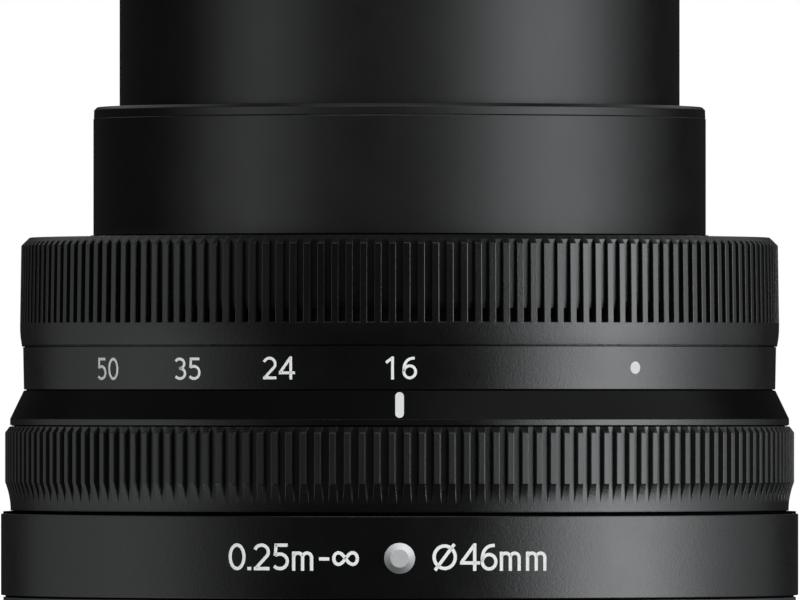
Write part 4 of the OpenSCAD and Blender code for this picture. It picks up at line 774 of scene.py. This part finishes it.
KEPT = {
    mount_black: ["bayonet_mount"],
    inner_black: ["fixed_barrel", "rear_frame", "rear_baffle", "contact_block", "rear_retaining_ring",
                  "focus_carriage", "zoom_drive_ring", "front_cell", "variator_cell", "iris_base", "iris_cover",
                  "iris_drive_ring"],
    blade_black: [f"iris_blade_{k}" for k in range(1, 8)],
    anodised: ["linear_guide", "cam_tube"],
    brass: ["cam_drive_pins", "inner_follower_pins"],
    steel: ["mount_screws", "focus_motor", "motor_bracket", "focus_guide_rods", "lead_screw"],
    gold: ["contact_pins"],
    magnet_black: ["control_magnet_ring"],
    felt_black: ["zoom_felt_ring", "outer_felt_ring"],
    board_green: ["circuit_board"],
    chip_black: ["board_chips", "hall_sensor"],
}
for coat, nodes in KEPT.items():
    for node in nodes:
        slots = frame["nodes"][node].data.materials
        slots.clear()
        slots.append(coat)


# Stage, light and camera

LIGHT_FAR, LIGHT_AIM, LIGHT_COLOUR = 0.5, 0.025, (0.958, 0.982, 1.0)
STRIP, STRIP_TALL, LEFT_TALL, LEFT_RISE = 14, 44, 84, -20
CAMERA_AT, CAMERA_TILT, CAMERA_LENS = (0.000035, -1.644, 0.0179), 90.303, 842.4


def pale_floor():
    """A wide disc: rings of points that shrink to the middle. It is clear from below."""
    radius = np.array([2600, 1000, 500, 250, 120, 60, 0.0])[:, None]
    points = turned(radius, FLOOR_Z - 0.01, around(96))
    mesh = bpy.data.meshes.new("floor")
    mesh.from_pydata((points.reshape(-1, 3) * MM).tolist(), [], grid_faces(*points.shape[:2], False, True).tolist())
    coat = bpy.data.materials.new("pale_floor")
    coat.use_nodes = True
    tree = coat.node_tree
    shader = tree.nodes["Principled BSDF"]
    shader.inputs["Base Color"].default_value = (0.9, 0.9, 0.9, 1)
    shader.inputs["Roughness"].default_value = 0.9
    shader.inputs["Emission Color"].default_value = (1, 1, 1, 1)
    shader.inputs["Emission Strength"].default_value = 1.0
    mix, clear = tree.nodes.new("ShaderNodeMixShader"), tree.nodes.new("ShaderNodeBsdfTransparent")
    tree.links.new(tree.nodes.new("ShaderNodeNewGeometry").outputs["Backfacing"], mix.inputs[0])
    tree.links.new(shader.outputs[0], mix.inputs[1])
    tree.links.new(clear.outputs[0], mix.inputs[2])
    tree.links.new(mix.outputs[0], tree.nodes["Material Output"].inputs[0])
    mesh.materials.append(coat)
    floor = bpy.data.objects.new("floor", mesh)
    bpy.context.scene.collection.objects.link(floor)
    floor.visible_glossy = floor.visible_diffuse = floor.visible_transmission = floor.visible_shadow = False


def softbox(name, azimuth, elevation, wide, tall, radiance, only=(), never=()):
    """A soft rectangular light aimed at the part's middle, lighting only some pieces, or all but some.

    Azimuth runs from the camera's side towards +X; wide and tall are the degrees that the light spans from the part.
    """
    a, e = math.radians(azimuth), math.radians(elevation)
    lamp = bpy.data.lights.new(name, "AREA")
    lamp.shape = "RECTANGLE"
    lamp.size, lamp.size_y = (2 * LIGHT_FAR * math.tan(math.radians(span) / 2) for span in (wide, tall))
    lamp.energy = radiance * math.pi * lamp.size * lamp.size_y
    lamp.color = LIGHT_COLOUR
    box = bpy.data.objects.new(name, lamp)
    box.location = (LIGHT_FAR * math.sin(a) * math.cos(e), -LIGHT_FAR * math.cos(a) * math.cos(e),
                    LIGHT_FAR * math.sin(e) + LIGHT_AIM)
    box.rotation_euler = (math.pi / 2 - e, 0, a)
    box.visible_camera = False
    bpy.context.scene.collection.objects.link(box)
    if only or never:
        lit = bpy.data.collections.new(name + "_pieces")
        for piece in only or never:
            lit.objects.link(piece)
        for entry in lit.collection_objects:
            entry.light_linking.link_state = "INCLUDE" if only else "EXCLUDE"
        box.light_linking.receiver_collection = lit


def glow(bells, azimuth):
    """Radiance towards an azimuth: the sum of bell curves, each with its middle, width and height."""
    return sum(height * math.exp(-((azimuth - middle) / width) ** 2) for middle, width, height in bells)


def backdrop(seen, felt):
    """World that is white to the camera and dim to every other ray."""
    world = bpy.data.worlds.new("studio")
    bpy.context.scene.world = world
    world.use_nodes = True
    tree = world.node_tree
    tree.nodes.clear()
    path, mix = tree.nodes.new("ShaderNodeLightPath"), tree.nodes.new("ShaderNodeMixShader")
    for socket, strength in ((1, felt), (2, seen)):
        back = tree.nodes.new("ShaderNodeBackground")
        back.inputs["Color"].default_value = (1, 1, 1, 1)
        back.inputs["Strength"].default_value = strength
        tree.links.new(back.outputs[0], mix.inputs[socket])
    tree.links.new(path.outputs["Is Camera Ray"], mix.inputs[0])
    tree.links.new(mix.outputs[0], tree.nodes.new("ShaderNodeOutputWorld").inputs[0])


pale_floor()
backdrop(seen=1.0, felt=0.022)
pieces = bpy.data.objects
tubes = [pieces[name] for name in ("outer_tube_wall", "outer_tube_trim", "inner_tube_wall", "filter_rim")]
prints = [piece for piece in pieces if piece.type == "MESH" and print_white.name in piece.data.materials]
bead_piece, cone = [pieces["index_bead"]], [pieces["index_collar_cone"]]
apart = tubes + prints + cone + bead_piece
rings = [pieces[name] for name in (
    "rear_barrel_shell", "control_ring_knurl", "index_collar_rim", "zoom_scale_band", "zoom_grip_knurl")]
under = [frame["nodes"][node] for node in (
    "bayonet_mount", "mount_screws", "rear_baffle", "contact_block", "contact_pins")] + [pieces["rear_element_glass"]]
# Each side of the rings has a key and a fainter rim; the tubes have a broad key, a fill and a trace from the front
RING_GLOW = ((64, 22, 6.2), (100, 30, 0.5), (-72, 20, 0.72), (-100, 30, 0.48))
TUBE_GLOW = ((60, 30, 3.0), (-56, 21, 0.9), (0, 30, 0.1))
for azimuth in range(-9 * STRIP, 10 * STRIP, STRIP):
    if abs(azimuth) > 2 * STRIP:
        rise, tall = (0, STRIP_TALL) if azimuth > 0 else (LEFT_RISE, LEFT_TALL)
        softbox(f"ring_strip_{azimuth}", azimuth, rise, STRIP, tall, glow(RING_GLOW, azimuth), never=apart)
    if -7 * STRIP <= azimuth <= 8 * STRIP:
        softbox(f"tube_strip_{azimuth}", azimuth, 0, STRIP, STRIP_TALL, glow(TUBE_GLOW, azimuth), only=tubes)
# Azimuth, elevation, degrees wide and tall, radiance, and the pieces that a lamp lights or passes by
LAMPS = {
    "cone_glow": (-60, 45, 110, 40, 0.05, cone),
    "cone_key": (62, 44, 90, 34, 0.3, cone),
    "print_front": (2, 0, 60, 60, 2.6, prints),
    "print_side": (80, 0, 50, 44, 0.9, prints),
    "bead_key": (46, 50, 86, 74, 2.7, bead_piece),
    "bead_fill": (10, 10, 90, 90, 0.25, bead_piece),
    "edge_glint": (0, 36, 60, 12, 3.5, rings + tubes),
    "ring_top": (0, 80, 60, 40, 0.13, rings),
    "rim_glow_-142": (-142, 40, 60, 40, 0.36, rings + tubes),
    "rim_glow_142": (142, 40, 60, 40, 0.36, rings + tubes),
    "overhead": (0, 88, 40, 34, 0.5, (), rings),
    "back": (180, 38, 20, 26, 6.0),
    "under": (0, -86, 110, 110, 0.9, under),
}
for name, setting in LAMPS.items():
    softbox(name, *setting)

view = bpy.data.cameras.new("camera")
view.sensor_width, view.lens, view.clip_start, view.clip_end = 36.0, CAMERA_LENS, 0.05, 20.0
camera = bpy.data.objects.new("camera", view)
camera.location = CAMERA_AT
camera.rotation_euler = (math.radians(CAMERA_TILT), 0, 0)
bpy.context.scene.collection.objects.link(camera)
bpy.context.scene.camera = camera
bpy.context.scene.view_settings.view_transform = "Standard"
